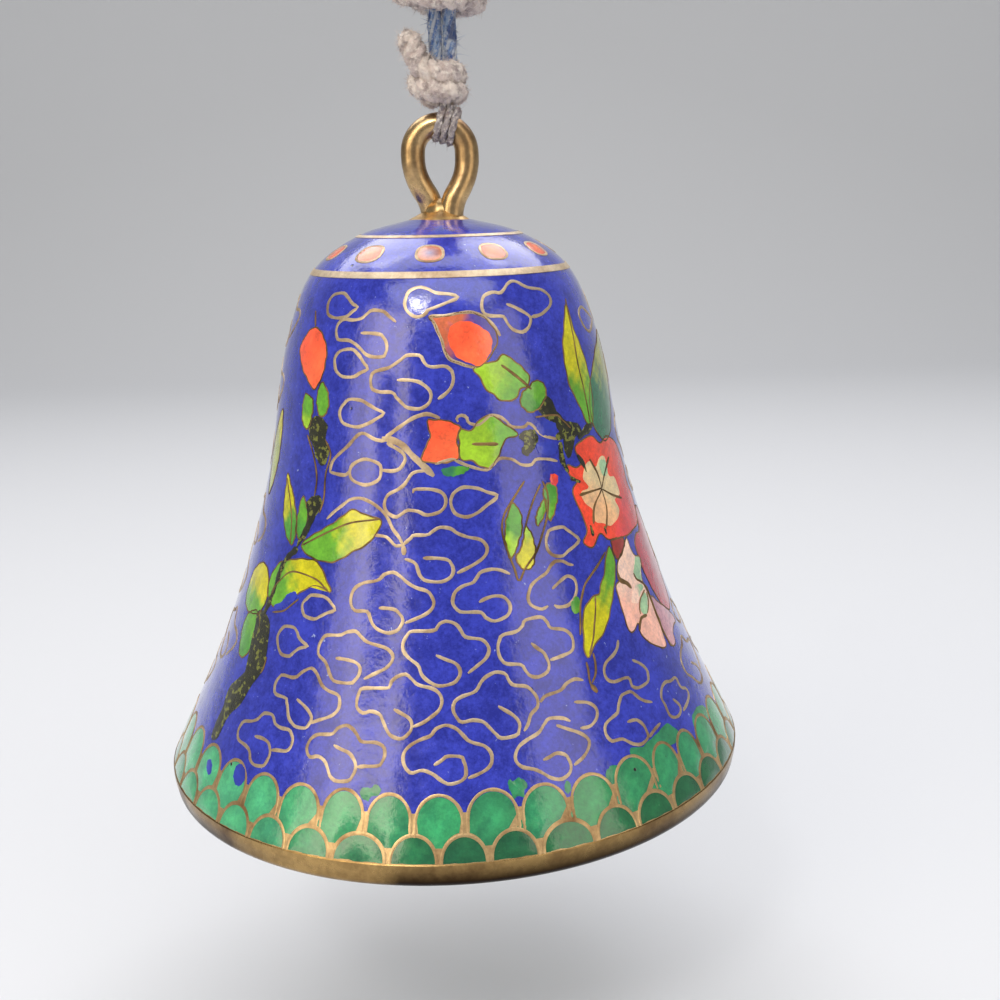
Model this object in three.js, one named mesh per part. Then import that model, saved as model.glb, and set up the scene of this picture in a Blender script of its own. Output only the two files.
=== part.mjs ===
// A small cloisonne bell on a knotted cord: a spun copper bell with enamel skins between metal wires,
// a wire hanger through its crown, a linked clapper inside, and the cord that it hangs by.
// Millimetres, +Z up. The bell is built upwards from its mouth, and the whole assembly is then lowered,
// so that the origin lies where the cord's hanging loop rests on its hook.
import * as THREE from "three";

// Outline of the bell: radii outside the enamel, and the height of each step above the one before
const mouthRadius = 25;
const rimHeight = 1.9;
const rimFlare = 0.15;
const flareRadius = 19.5;
const flareStep = 12.1;
const waistRadius = 15.6;
const waistStep = 12;
const shoulderRadius = 13.2;
const shoulderStep = 12;
const crownRadius = 10.8;
const crownStep = 5.6;
const capRadius = 6.9;
const capStep = 2.8;
const capRise = 1.3;

// Layers of the wall, and the joint left between two layers that are fired or soldered together
const enamelDepth = 0.5;
const shellWall = 0.8;
const counterEnamelDepth = 0.3;
const bondGap = 0.05;

// Metal wires laid on the crown, and the two rows of enamel scales, measured along the outline
const crownWireWidth = 0.6;
const capWireWidth = 0.4;
const wireProud = 0.12;
const lowerScaleRow = 2.4;
const upperScaleRow = 2.6;

// Hanger: one wire bent into a loop, with both legs through the crown
const hangerWire = 1.85;
const hangerLoopWidth = 6.5;
const hangerLoopRise = 8.2;
const hangerLegGap = 0.35;
const legEndBelowWasher = 0.5;
const collarRadius = 3;
const collarThickness = 0.45;
const washerRadius = 4.2;
const washerThickness = 0.6;
const slideClearance = 0.3;

// Clapper: a wire eye under the crown, a ring link, and a rod with a ball
const eyeWire = 1;
const eyeWidth = 3;
const eyeDrop = 4;
const linkWire = 0.9;
const linkRadius = 2.3;
const rodWire = 1;
const rodEyeRadius = 1.5;
const rodLength = 30;
const ballRadius = 4.5;
const ballBoreClearance = 0.15;
const solderGap = 0.1;

// Cord: thin strands, and the thicker wound cord of the knots
const bightCord = 0.75;
const bightSpacing = 0.9;
const bightAside = 0.7;
const strandCord = 0.8;
const strandSpacing = 1;
const strandSplitAbove = 2.1;
const freeStrand = 3.9;
const lowerKnotCord = 1.5;
const lowerKnotRadius = 1.95;
const upperKnotCord = 1.7;
const upperKnotRadius = 2.65;
const windingGap = 0.6;
const hangingCord = 1.3;
const hangingSpacing = 1.7;
const hangingLoopWidth = 6.6;
const hangingLoopRise = 11.5;

// Fineness of the facets
const roundSides = 40;
const outlineSteps = 11;
const ballSides = 24;
const wireSides = 10;
const cordSides = 8;
const windingSides = 6;
const stepsPerTurn = 24;
const quarterArcPoints = 5;
const halfArcPoints = 9;
const rodArcPoints = 11;
const slotFacets = 12;
const gapSampleStep = 0.15;

const assembly = new THREE.Group();

const finishes = {
  copper: { color: 0x9a5f3c, roughness: 0.45, metalness: 1 },
  brass: { color: 0xb08d57, roughness: 0.32, metalness: 1 },
  gilt: { color: 0xc9a25a, roughness: 0.28, metalness: 1 },
  blueEnamel: { color: 0x3241b9, roughness: 0.12, metalness: 0 },
  greenEnamel: { color: 0x2f9a68, roughness: 0.14, metalness: 0 },
  counterEnamel: { color: 0x2e7fa8, roughness: 0.2, metalness: 0 },
  paleCord: { color: 0xc8b9b0, roughness: 0.95, metalness: 0 },
  blueCord: { color: 0x6e96cd, roughness: 0.95, metalness: 0 },
};

function addPiece(name, geometry, finish) {
  const mesh = new THREE.Mesh(geometry, new THREE.MeshStandardMaterial(finish));
  mesh.name = name;
  assembly.add(mesh);
  return mesh;
}

// A closed section, listed counterclockwise in (radius, height), turned about Z
function turned(section, sides = roundSides) {
  const profile = section.map(([radius, height]) => new THREE.Vector2(radius, height));
  profile.push(profile[0].clone());
  return new THREE.LatheGeometry(profile, sides).rotateX(Math.PI / 2);
}

// A round bar of one diameter along a curve
function bar(curve, diameter, sides, steps) {
  const section = new THREE.Shape();
  for (let side = 0; side < sides; side++) {
    const angle = (2 * Math.PI * side) / sides;
    const x = (diameter / 2) * Math.cos(angle);
    const y = (diameter / 2) * Math.sin(angle);
    if (side === 0) section.moveTo(x, y);
    else section.lineTo(x, y);
  }
  section.closePath();
  return new THREE.ExtrudeGeometry(section, { steps, extrudePath: curve, bevelEnabled: false });
}

function smoothCurve(points) {
  const vectors = points.map(([x, y, z]) => new THREE.Vector3(x, y, z));
  return new THREE.CatmullRomCurve3(vectors, false, "centripetal");
}

// Points on a circle about the Y axis (in the XZ plane), from one angle to another in degrees, 0 along +X
function arcPoints(centreX, centreZ, radius, fromDegrees, toDegrees, count) {
  return Array.from({ length: count }, (_, index) => {
    const share = index / (count - 1);
    const angle = THREE.MathUtils.degToRad(fromDegrees + (toDegrees - fromDegrees) * share);
    return [centreX + radius * Math.cos(angle), 0, centreZ + radius * Math.sin(angle)];
  });
}

const turnedToYZ = (points) => points.map(([x, y, z]) => [-y, x, z]);

// The place between two ends where a condition that holds at the low end stops holding, by halving
function lastPlaceWhere(holds, low, high) {
  const halvings = 40;
  for (let halving = 0; halving < halvings; halving++) {
    const middle = (low + high) / 2;
    if (holds(middle)) low = middle;
    else high = middle;
  }
  return low;
}

// Outline of the bell's outer surface, from the top of the rim band to the hole in the crown
const legOffset = (hangerWire + hangerLegGap) / 2;
const legHoleRadius = legOffset + hangerWire / 2 + slideClearance;
const outlineKnots = [[mouthRadius + rimFlare, rimHeight]];
[
  [flareRadius, flareStep],
  [waistRadius, waistStep],
  [shoulderRadius, shoulderStep],
  [crownRadius, crownStep],
  [capRadius, capStep],
  [legHoleRadius, capRise],
].forEach(([radius, step]) => outlineKnots.push([radius, outlineKnots.at(-1)[1] + step]));
const outline = smoothCurve(outlineKnots.map(([radius, height]) => [radius, 0, height]));
outline.arcLengthDivisions = 600;
const outlineLength = outline.getLength();
const bellHeight = outlineKnots.at(-1)[1];

// Distance along the outline at which it passes a height
function lengthAtHeight(height) {
  return outlineLength * lastPlaceWhere((share) => outline.getPointAt(share).z < height, 0, 1);
}

// A point of the outline set in from the outer surface, square to it
function wallPoint(length, depth) {
  const share = THREE.MathUtils.clamp(length / outlineLength, 0, 1);
  const point = outline.getPointAt(share);
  const tangent = outline.getTangentAt(share);
  return [point.x - depth * tangent.z, point.z + depth * tangent.x];
}

const crownAt = lengthAtHeight(bellHeight - capRise - capStep);
const capAt = lengthAtHeight(bellHeight - capRise);
const lowerScaleTop = lowerScaleRow;
const upperScaleTop = lowerScaleTop + upperScaleRow;

// Stations that every layer shares, so that facets of neighbouring layers stay parallel:
// the borders of the skins, and even steps between them
const borders = [
  0,
  lowerScaleTop,
  upperScaleTop,
  crownAt - crownWireWidth / 2,
  crownAt + crownWireWidth / 2,
  capAt - capWireWidth / 2,
  capAt + capWireWidth / 2,
  outlineLength,
];
const stations = borders.slice(1).flatMap((border, index) => {
  const start = borders[index];
  const steps = Math.max(1, Math.round((outlineSteps * (border - start)) / outlineLength));
  return Array.from({ length: steps }, (_, step) => start + ((border - start) * step) / steps);
});

// One layer of the wall between two lengths along the outline and two depths under the outer surface
function wallLayer(fromLength, toLength, outerDepth, innerDepth) {
  const between = stations.filter((length) => length > fromLength + bondGap && length < toLength - bondGap);
  const lengths = [fromLength, ...between, toLength];
  const outer = lengths.map((length) => wallPoint(length, outerDepth));
  const inner = lengths.map((length) => wallPoint(length, innerDepth));
  return turned([...outer, ...inner.reverse()]);
}

const shellDepth = enamelDepth + bondGap;
const shellInside = shellDepth + shellWall;
const counterDepth = shellInside + bondGap;
const wallDepth = counterDepth + counterEnamelDepth;

// Bare rim band: the ring that closes the wall at the mouth, flat underneath
const rimOuterTop = wallPoint(0, 0);
const rimInnerTop = wallPoint(0, wallDepth);
addPiece(
  "rim_band",
  turned([
    [mouthRadius - wallDepth, 0],
    [mouthRadius, 0],
    [rimOuterTop[0], rimOuterTop[1] - bondGap],
    [rimInnerTop[0], rimInnerTop[1] - bondGap],
  ]),
  finishes.brass,
);

// Copper shell from the rim band to the hole in the crown
addPiece("bell_shell", wallLayer(0, outlineLength, shellDepth, shellInside), finishes.copper);

// Enamel skins from the rim up, each ending half a joint from the next
const halfJoint = bondGap / 2;
const skins = [
  ["scale_enamel_lower", 0, lowerScaleTop, finishes.greenEnamel],
  ["scale_enamel_upper", lowerScaleTop, upperScaleTop, finishes.greenEnamel],
  ["ground_enamel", upperScaleTop, crownAt - crownWireWidth / 2, finishes.blueEnamel],
  ["crown_enamel", crownAt + crownWireWidth / 2, capAt - capWireWidth / 2, finishes.blueEnamel],
  ["cap_enamel", capAt + capWireWidth / 2, outlineLength, finishes.blueEnamel],
];
for (const [name, from, to, finish] of skins) {
  addPiece(name, wallLayer(from + halfJoint, to - halfJoint, 0, enamelDepth), finish);
}

// Metal wires that part the crown's enamel, standing a little proud
for (const [name, at, width] of [
  ["crown_wire", crownAt, crownWireWidth],
  ["cap_wire", capAt, capWireWidth],
]) {
  const reach = width / 2 - halfJoint;
  addPiece(name, wallLayer(at - reach, at + reach, -wireProud, enamelDepth), finishes.gilt);
}

// Washers on the two faces of the crown, with a slot for the hanger's two legs
function slottedWasher(radius, thickness, bottom) {
  const disc = new THREE.Shape().absarc(0, 0, radius, 0, 2 * Math.PI);
  const slotRadius = hangerWire / 2 + slideClearance;
  const slot = new THREE.Path();
  slot.absarc(legOffset, 0, slotRadius, -Math.PI / 2, Math.PI / 2);
  slot.absarc(-legOffset, 0, slotRadius, Math.PI / 2, (3 * Math.PI) / 2);
  slot.closePath();
  disc.holes.push(slot);
  const options = { depth: thickness, bevelEnabled: false, curveSegments: slotFacets };
  return new THREE.ExtrudeGeometry(disc, options).translate(0, 0, bottom);
}

const collarBottom = bellHeight + solderGap;
addPiece("crown_collar", slottedWasher(collarRadius, collarThickness, collarBottom), finishes.gilt);

// The inner washer's edge meets the inside of the shell's dome
const widerThanWasher = (length) => wallPoint(length, shellInside)[0] > washerRadius;
const washerAt = lastPlaceWhere(widerThanWasher, 0, outlineLength);
const washerTop = wallPoint(washerAt, shellInside)[1] - solderGap;
const washerBottom = washerTop - washerThickness;
addPiece("inner_washer", slottedWasher(washerRadius, washerThickness, washerBottom), finishes.brass);

// Enamel inside the shell, up to the last station that clears the washer
const clearOfWasher = (length) => wallPoint(length, wallDepth)[0] > washerRadius + slideClearance;
const counterEnd = stations.filter(clearOfWasher).at(-1);
addPiece("counter_enamel", wallLayer(0, counterEnd, counterDepth, wallDepth), finishes.counterEnamel);

// Hanger loop in the XZ plane: straight legs, flanks that spread, and a half circle on top
const legEnd = washerBottom - legEndBelowWasher;
const loopBase = collarBottom + collarThickness;
const loopRadius = (hangerLoopWidth - hangerWire) / 2;
const loopTop = loopBase + hangerLoopRise;
const loopCentre = loopTop - hangerWire / 2 - loopRadius;
const leg = [legEnd, (legEnd + loopBase) / 2, loopBase].map((height) => [legOffset, 0, height]);
const flankSpread = 0.55;
const flankRise = 0.39;
const flank = [
  THREE.MathUtils.lerp(legOffset, loopRadius, flankSpread),
  0,
  THREE.MathUtils.lerp(loopBase, loopCentre, flankRise),
];
const halfLoop = [...leg, flank, ...arcPoints(0, loopCentre, loopRadius, 0, 90, quarterArcPoints)];
const mirrored = halfLoop.slice(0, -1).map(([x, y, z]) => [-x, y, z]);
const hangerSteps = 44;
const hangerCurve = smoothCurve([...halfLoop, ...mirrored.reverse()]);
addPiece("hanger_loop", bar(hangerCurve, hangerWire, wireSides, hangerSteps), finishes.gilt);

// Clapper's eye: a staple in the YZ plane under the inner washer
const eyeRadius = eyeWidth / 2;
const eyeTop = washerBottom - solderGap;
const eyeBottom = eyeTop - eyeDrop;
const eyeArc = arcPoints(0, eyeBottom + eyeRadius, eyeRadius, 0, -180, halfArcPoints);
const eyeLegHeights = [eyeTop, (eyeTop + eyeBottom + eyeRadius) / 2];
const eyePoints = [
  ...eyeLegHeights.map((height) => [eyeRadius, 0, height]),
  ...eyeArc,
  ...eyeLegHeights.toReversed().map((height) => [-eyeRadius, 0, height]),
];
const eyeSteps = 22;
const eyeCurve = smoothCurve(turnedToYZ(eyePoints));
addPiece("clapper_eye", bar(eyeCurve, eyeWire, cordSides, eyeSteps), finishes.brass);

// Ring link in the XZ plane, hung on the eye's lowest wire
const linkTop = eyeBottom + eyeWire / 2 + slideClearance + linkWire / 2;
const linkBottom = linkTop - 2 * linkRadius;
const linkSteps = 28;
const link = new THREE.TorusGeometry(linkRadius, linkWire / 2, cordSides, linkSteps);
link.rotateX(Math.PI / 2).translate(0, 0, linkTop - linkRadius);
addPiece("clapper_link", link, finishes.brass);

// Clapper rod in the YZ plane: its wire is bent into an eye on the link, then runs straight to the ball
const rodEyeTop = linkBottom + linkWire / 2 + slideClearance + rodWire / 2;
const rodEyeCentre = rodEyeTop - rodEyeRadius;
const ballCentre = linkBottom - rodLength;
const rodStraightTop = rodEyeCentre - 2 * rodEyeRadius;
const rodEnd = ballCentre - ballRadius;
const rodEyeFromDegrees = 205;
const rodEyeToDegrees = -45;
const rodPoints = [
  ...arcPoints(0, rodEyeCentre, rodEyeRadius, rodEyeFromDegrees, rodEyeToDegrees, rodArcPoints),
  [0, 0, rodStraightTop],
  [0, 0, (rodStraightTop + rodEnd) / 2],
  [0, 0, rodEnd],
];
const rodSteps = 44;
const rodCurve = smoothCurve(turnedToYZ(rodPoints));
addPiece("clapper_rod", bar(rodCurve, rodWire, cordSides, rodSteps), finishes.brass);

// Ball with a bore for the rod
const boreRadius = rodWire / 2 + ballBoreClearance;
const boreAngle = Math.asin(boreRadius / ballRadius);
const ballSteps = 10;
const ballSection = Array.from({ length: ballSteps + 1 }, (_, index) => {
  const angle = -Math.PI / 2 + boreAngle + ((Math.PI - 2 * boreAngle) * index) / ballSteps;
  return [ballRadius * Math.cos(angle), ballCentre + ballRadius * Math.sin(angle)];
});
addPiece("clapper_ball", turned(ballSection, ballSides), finishes.brass);

// Two bights of thin cord round the hanger's top, side by side, a little aside of its middle,
// where they lean with the wire. Their ends reach up to the knot.
const wireAxis = loopTop - hangerWire / 2;
const knotBottom = loopTop + slideClearance;
const bightRadius = hangerWire / 2 + slideClearance + bightCord / 2;
const bightEnd = knotBottom - slideClearance;
const bightSteps = 14;
const bightLean = bightAside / loopRadius;
for (const [name, side] of [["bight_left", -1], ["bight_right", 1]]) {
  const x = (side * bightSpacing) / 2;
  const legRise = (bightEnd - loopCentre + x * Math.sin(bightLean)) / Math.cos(bightLean);
  const around = turnedToYZ([
    [bightRadius, 0, loopCentre + legRise],
    ...arcPoints(0, wireAxis, bightRadius, 0, -180, halfArcPoints),
    [-bightRadius, 0, loopCentre + legRise],
  ]);
  const bight = bar(smoothCurve(around), bightCord, cordSides, bightSteps);
  bight.translate(x, 0, -loopCentre).rotateY(bightLean).translate(0, 0, loopCentre);
  addPiece(name, bight, finishes.paleCord);
}

// Least clear distance between stretches of one wound cord, taken between points well apart along it
function leastGapToItself(curve, diameter) {
  const length = curve.getLength();
  const count = Math.ceil(length / gapSampleStep);
  const points = curve.getSpacedPoints(count);
  const apart = Math.ceil((2 * diameter) / (length / count));
  let least = Infinity;
  for (let first = 0; first < points.length; first++) {
    for (let second = first + apart; second < points.length; second++) {
      least = Math.min(least, points[first].distanceTo(points[second]));
    }
  }
  return least - diameter;
}

// A knot's wraps as one unbroken winding about the strands: from the back it goes level to the front,
// climbs on its way round to the back, and comes level to the front again.
// firstRun and lastRun are the straight ends, as offsets from the winding's two ends.
function woundKnot(name, bottom, radius, diameter, firstRun, lastRun, finish) {
  const pitch = diameter + windingGap;
  const pointsPerTurn = 12;
  const halfTurns = 3;
  const turnPoints = Array.from({ length: (halfTurns * pointsPerTurn) / 2 + 1 }, (_, index) => {
    const halfTurn = (2 * index) / pointsPerTurn;
    const angle = Math.PI / 2 - Math.PI * halfTurn;
    const height = bottom + diameter / 2 + pitch * THREE.MathUtils.clamp(halfTurn - 1, 0, 1);
    return [radius * Math.cos(angle), radius * Math.sin(angle), height];
  });
  const start = turnPoints[0];
  const end = turnPoints.at(-1);
  const offset = (from, run) => [from[0] + run[0], from[1] + run[1], from[2] + run[2]];
  const curve = smoothCurve([
    ...firstRun.map((run) => offset(start, run)),
    ...turnPoints,
    ...lastRun.map((run) => offset(end, run)),
  ]);
  const turnLength = 2 * Math.PI * radius;
  const steps = Math.round((stepsPerTurn * curve.getLength()) / turnLength);
  addPiece(name, bar(curve, diameter, windingSides, steps), finish);
  console.log(name + " least gap to itself: " + leastGapToItself(curve, diameter).toFixed(2) + " mm");
  return bottom + diameter + pitch;
}

// Lower knot: one end tucked away at the back, the other standing up to the left as a short tail
const lowerTuck = [[-2.2, 1.9, -1], [-1.1, 0.8, -0.5]];
const lowerTail = [[-1.2, -0.1, 0.4], [-1.8, -0.2, 1.5], [-2.3, -0.2, 2.7]];
const lowerKnotTop = woundKnot(
  "lower_knot",
  knotBottom,
  lowerKnotRadius,
  lowerKnotCord,
  lowerTuck,
  lowerTail,
  finishes.paleCord,
);

// Two strands between the knots, parted where the cord flexes
const splitHeight = lowerKnotTop + strandSplitAbove;
const upperKnotBottom = lowerKnotTop + freeStrand;
const strandFoot = knotBottom + lowerKnotCord;
const strandHead = upperKnotBottom + upperKnotCord;
const strandSteps = 3;
for (const [name, side] of [["strand_left", -1], ["strand_right", 1]]) {
  const x = (side * strandSpacing) / 2;
  const lower = new THREE.LineCurve3(
    new THREE.Vector3(x, 0, strandFoot),
    new THREE.Vector3(x, 0, splitHeight - slideClearance / 2),
  );
  const upper = new THREE.LineCurve3(
    new THREE.Vector3(x, 0, splitHeight + slideClearance / 2),
    new THREE.Vector3(x, 0, strandHead),
  );
  addPiece(name + "_lower", bar(lower, strandCord, cordSides, strandSteps), finishes.blueCord);
  addPiece(name + "_upper", bar(upper, strandCord, cordSides, strandSteps), finishes.blueCord);
}

// Upper knot: one end standing out at the back, the other at the front
const upperTuck = [[-3, 2.2, -1], [-1.5, 0.9, -0.5]];
const upperTail = [[-1.8, 0, 0.3], [-3.6, 0, 0.6]];
const upperKnotTop = woundKnot(
  "upper_knot",
  upperKnotBottom,
  upperKnotRadius,
  upperKnotCord,
  upperTuck,
  upperTail,
  finishes.paleCord,
);

// Hanging loop: out of the upper knot, round, and back into it
const hangingFoot = strandHead + slideClearance;
const hangingRadius = (hangingLoopWidth - hangingCord) / 2;
const hangingTop = upperKnotTop + hangingLoopRise;
const hangingCentre = hangingTop - hangingCord / 2 - hangingRadius;
const halfHanging = [
  [hangingSpacing / 2, 0, hangingFoot],
  [hangingSpacing / 2, 0, (hangingFoot + upperKnotTop) / 2],
  [hangingSpacing / 2, 0, upperKnotTop],
  ...arcPoints(0, hangingCentre, hangingRadius, 0, 90, quarterArcPoints),
];
const mirroredHanging = halfHanging.slice(0, -1).map(([x, y, z]) => [-x, y, z]);
const hangingSteps = 22;
const hangingCurve = smoothCurve([...halfHanging, ...mirroredHanging.reverse()]);
addPiece("hanging_loop", bar(hangingCurve, hangingCord, cordSides, hangingSteps), finishes.blueCord);

// The hook bears on the underside of the loop's top
const hangHeight = hangingTop - hangingCord;
assembly.position.z = -hangHeight;

export default assembly;
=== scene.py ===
import math
import bpy
import numpy as np
from mathutils import Matrix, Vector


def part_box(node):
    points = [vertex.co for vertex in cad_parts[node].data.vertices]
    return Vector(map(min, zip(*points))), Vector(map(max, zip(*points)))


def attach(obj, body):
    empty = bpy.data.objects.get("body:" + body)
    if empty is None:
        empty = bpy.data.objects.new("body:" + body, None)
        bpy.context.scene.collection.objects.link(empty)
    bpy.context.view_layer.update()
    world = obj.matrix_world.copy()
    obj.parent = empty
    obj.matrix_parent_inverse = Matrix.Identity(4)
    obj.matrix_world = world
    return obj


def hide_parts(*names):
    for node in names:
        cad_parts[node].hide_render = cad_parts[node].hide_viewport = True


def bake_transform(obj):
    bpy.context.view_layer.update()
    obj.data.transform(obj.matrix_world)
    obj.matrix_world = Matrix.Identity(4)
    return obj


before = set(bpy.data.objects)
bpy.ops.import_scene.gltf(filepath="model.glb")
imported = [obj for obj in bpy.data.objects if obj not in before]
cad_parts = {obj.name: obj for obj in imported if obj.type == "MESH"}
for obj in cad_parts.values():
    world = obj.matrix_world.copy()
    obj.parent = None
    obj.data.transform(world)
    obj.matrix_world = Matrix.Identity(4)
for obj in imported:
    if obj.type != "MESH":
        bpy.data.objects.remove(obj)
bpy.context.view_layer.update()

# Lengths are millimetres, and heights are above the mouth of the bell, until addPiece makes them metres.
mm = 0.001
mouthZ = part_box("rim_band")[0].z
dice = np.random.default_rng(11)
print("frame loaded:", len(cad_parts), "nodes")


# Camera at the photograph's angle
viewPoint = {
    "place": (5.76, -109.08, 49.32),
    "pan": 1.726,               # degrees
    "tilt": -11.478,
    "roll": -1.274,
    "focal": 1.263,             # picture widths
    "shift": (0.051, 0.047),    # how far right and up the picture's middle is moved, in picture widths
    "sensor": 36.0,
    "picture": 1000,            # pixels
    "near": 0.004,
    "far": 30.0,
    "sightFrom": 70,            # a line of sight is tried for the wall between these distances
    "sightTo": 130,
    "sightTries": 1201,
}


def cameraAxes():
    # forward from pan and tilt, right level with it, then both others turned about forward by roll
    pan, tilt, roll = (math.radians(viewPoint[key]) for key in ("pan", "tilt", "roll"))
    forward = np.array([math.sin(pan) * math.cos(tilt), math.cos(pan) * math.cos(tilt), math.sin(tilt)])
    level = np.array([math.cos(pan), -math.sin(pan), 0.0])
    upright = np.cross(level, forward)
    right = math.cos(roll) * level + math.sin(roll) * upright
    up = math.cos(roll) * upright - math.sin(roll) * level
    return forward, right, up


def makeCamera():
    forward, right, up = cameraAxes()
    data = bpy.data.cameras.new("photo_camera")
    data.sensor_width = viewPoint["sensor"]
    data.lens = viewPoint["sensor"] * viewPoint["focal"]
    data.shift_x = -viewPoint["shift"][0]
    data.shift_y = -viewPoint["shift"][1]
    data.clip_start = viewPoint["near"]
    data.clip_end = viewPoint["far"]
    camera = bpy.data.objects.new("photo_camera", data)
    place = np.array(viewPoint["place"]) * mm + (0, 0, mouthZ)
    columns = np.column_stack([right, up, -forward, place])
    camera.matrix_world = Matrix(np.vstack([columns, (0, 0, 0, 1)]).tolist())
    bpy.context.scene.collection.objects.link(camera)
    bpy.context.scene.camera = camera


makeCamera()
print("camera placed")


# Paths
def smoothPath(points, perSpan=12, closed=False):
    # centripetal Catmull-Rom: each span is a cubic through its two points, and its end slopes come
    # from the neighbours, weighted by the square roots of the distances
    p = np.asarray(points, float)
    if closed:
        p = np.vstack([p[-1:], p, p[:2]])
    else:
        p = np.vstack([2 * p[:1] - p[1:2], p, 2 * p[-1:] - p[-2:-1]])
    a, b, c, d = p[:-3], p[1:-2], p[2:-1], p[3:]
    gapAB, gapBC, gapCD = (
        np.sqrt(np.linalg.norm(v - u, axis=1, keepdims=True)) for u, v in ((a, b), (b, c), (c, d))
    )
    slopeB = ((b - a) / gapAB - (c - a) / (gapAB + gapBC) + (c - b) / gapBC) * gapBC
    slopeC = ((c - b) / gapBC - (d - b) / (gapBC + gapCD) + (d - c) / gapCD) * gapBC
    t = np.linspace(0, 1, perSpan, endpoint=False)[None, :, None]
    b, c, slopeB, slopeC = (x[:, None] for x in (b, c, slopeB, slopeC))
    spans = b + slopeB * t
    spans = spans + (3 * c - 3 * b - 2 * slopeB - slopeC) * t**2
    spans = spans + (2 * b - 2 * c + slopeB + slopeC) * t**3
    path = spans.reshape(-1, p.shape[1])
    return path if closed else np.vstack([path, p[-2:-1]])


def runLength(path):
    # distance covered up to each point of a path
    return np.concatenate([[0], np.cumsum(np.linalg.norm(np.diff(path, axis=0), axis=1))])


def evenPath(path, step, closed=False):
    # the same path with points about one step apart
    if closed:
        path = np.vstack([path, path[:1]])
    run = runLength(path)
    count = max(4, int(round(run[-1] / step)) + (0 if closed else 1))
    at = np.linspace(0, run[-1], count, endpoint=not closed)
    return np.stack([np.interp(at, run, path[:, k]) for k in range(path.shape[1])], axis=1)


# The bell's outline: radius outside the enamel, and the rise of each step above the one before
bellForm = {
    "mouthRadius": 25.0,
    "rimHeight": 1.9,
    "rimFlare": 0.15,
    "steps": [(19.5, 12.1), (15.6, 12.0), (13.2, 12.0), (10.8, 5.6), (6.9, 2.8), (2.325, 1.3)],
    "enamel": 0.5,
    "shell": 0.8,
    "counterEnamel": 0.3,
    "bond": 0.05,
    "crownWire": 0.6,
    "capWire": 0.4,
}


def bellOutline():
    # the outline as arrays of length along it, radius, height, and the outward direction's two parts
    knots = [(bellForm["mouthRadius"] + bellForm["rimFlare"], bellForm["rimHeight"])]
    for radius, rise in bellForm["steps"]:
        knots.append((radius, knots[-1][1] + rise))
    path = evenPath(smoothPath(knots, 200), 0.05)
    along = runLength(path)
    slope = np.gradient(path, along, axis=0)
    heights = [height for radius, height in knots]
    return {
        "along": along, "radius": path[:, 0], "height": path[:, 1],
        "outR": slope[:, 1], "outZ": -slope[:, 0], "knotHeights": heights,
    }


wall = bellOutline()
wallTop = wall["along"][-1]
crownAt = np.interp(wall["knotHeights"][4], wall["height"], wall["along"])
capAt = np.interp(wall["knotHeights"][5], wall["height"], wall["along"])


def radiusAt(along):
    return np.interp(along, wall["along"], wall["radius"])


def onWall(angle, along, proud=0.0):
    # the outline's point at a length along it, moved out by proud, and turned about the axis;
    # angle 0 faces the camera and grows to the right
    radius = radiusAt(along) + proud * np.interp(along, wall["along"], wall["outR"])
    height = np.interp(along, wall["along"], wall["height"])
    height = height + proud * np.interp(along, wall["along"], wall["outZ"])
    return np.stack([radius * np.sin(angle), -radius * np.cos(angle), height], axis=-1)


def chartAt(pixels):
    # where the lines of sight through these pixels of the photograph first meet the wall,
    # as angle and length along the outline; a line that misses gives its nearest point
    forward, right, up = cameraAxes()
    offset = (np.asarray(pixels, float) - viewPoint["picture"] / 2) / viewPoint["picture"]
    offset = offset + (-viewPoint["shift"][0], viewPoint["shift"][1])
    sight = forward * viewPoint["focal"] + offset[:, :1] * right - offset[:, 1:] * up
    sight = sight / np.linalg.norm(sight, axis=1, keepdims=True)
    reach = np.linspace(viewPoint["sightFrom"], viewPoint["sightTo"], viewPoint["sightTries"])
    points = np.array(viewPoint["place"]) + reach[None, :, None] * sight[:, None, :]
    gap = np.hypot(points[..., 0], points[..., 1])
    gap = gap - np.interp(points[..., 2], wall["height"], wall["radius"])
    inside = gap < 0
    first = np.where(inside.any(axis=1), inside.argmax(axis=1), gap.argmin(axis=1))
    met = points[np.arange(len(points)), first]
    angle = np.arctan2(met[:, 0], -met[:, 1])
    along = np.interp(met[:, 2], wall["height"], wall["along"])
    return np.stack([angle, along], axis=1)


def boxOnWall(x, y, wide, tall):
    # middle and two half axes, as angle and length along, of a box on the photograph
    sides = [(x - wide / 2, y), (x + wide / 2, y), (x, y - tall / 2), (x, y + tall / 2)]
    left, right, top, low = chartAt(sides)
    return (left + right + top + low) / 4, (right - left) / 2, (top - low) / 2


def sizedBox(angle, along, wide, tall):
    # the same for a box of this size in millimetres about a place on the wall
    return np.array([angle, along]), np.array([wide / 2 / radiusAt(along), 0]), np.array([0, tall / 2])


def drawnIn(box, drawing):
    # a drawing that spans -1 to 1 both ways, fitted to a box on the wall
    middle, across, up = box
    return middle + drawing[:, :1] * across + drawing[:, 1:] * up


def evenOnWall(path, step, closed=False):
    # points about one step apart, for a path of angles and lengths along the outline
    scale = np.array([radiusAt(path[:, 1].mean()), 1.0])
    return evenPath(path * scale, step, closed) / scale


# Meshes
def gridFaces(rows, columns, closedRows=False, closedColumns=False):
    # four-cornered faces between neighbouring rows and columns, joined round where the grid closes
    index = np.arange(rows * columns).reshape(rows, columns)
    if closedRows:
        index = np.vstack([index, index[:1]])
    if closedColumns:
        index = np.hstack([index, index[:, :1]])
    corners = [index[:-1, :-1], index[:-1, 1:], index[1:, 1:], index[1:, :-1]]
    return np.stack(corners, axis=-1).reshape(-1, 4)


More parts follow.
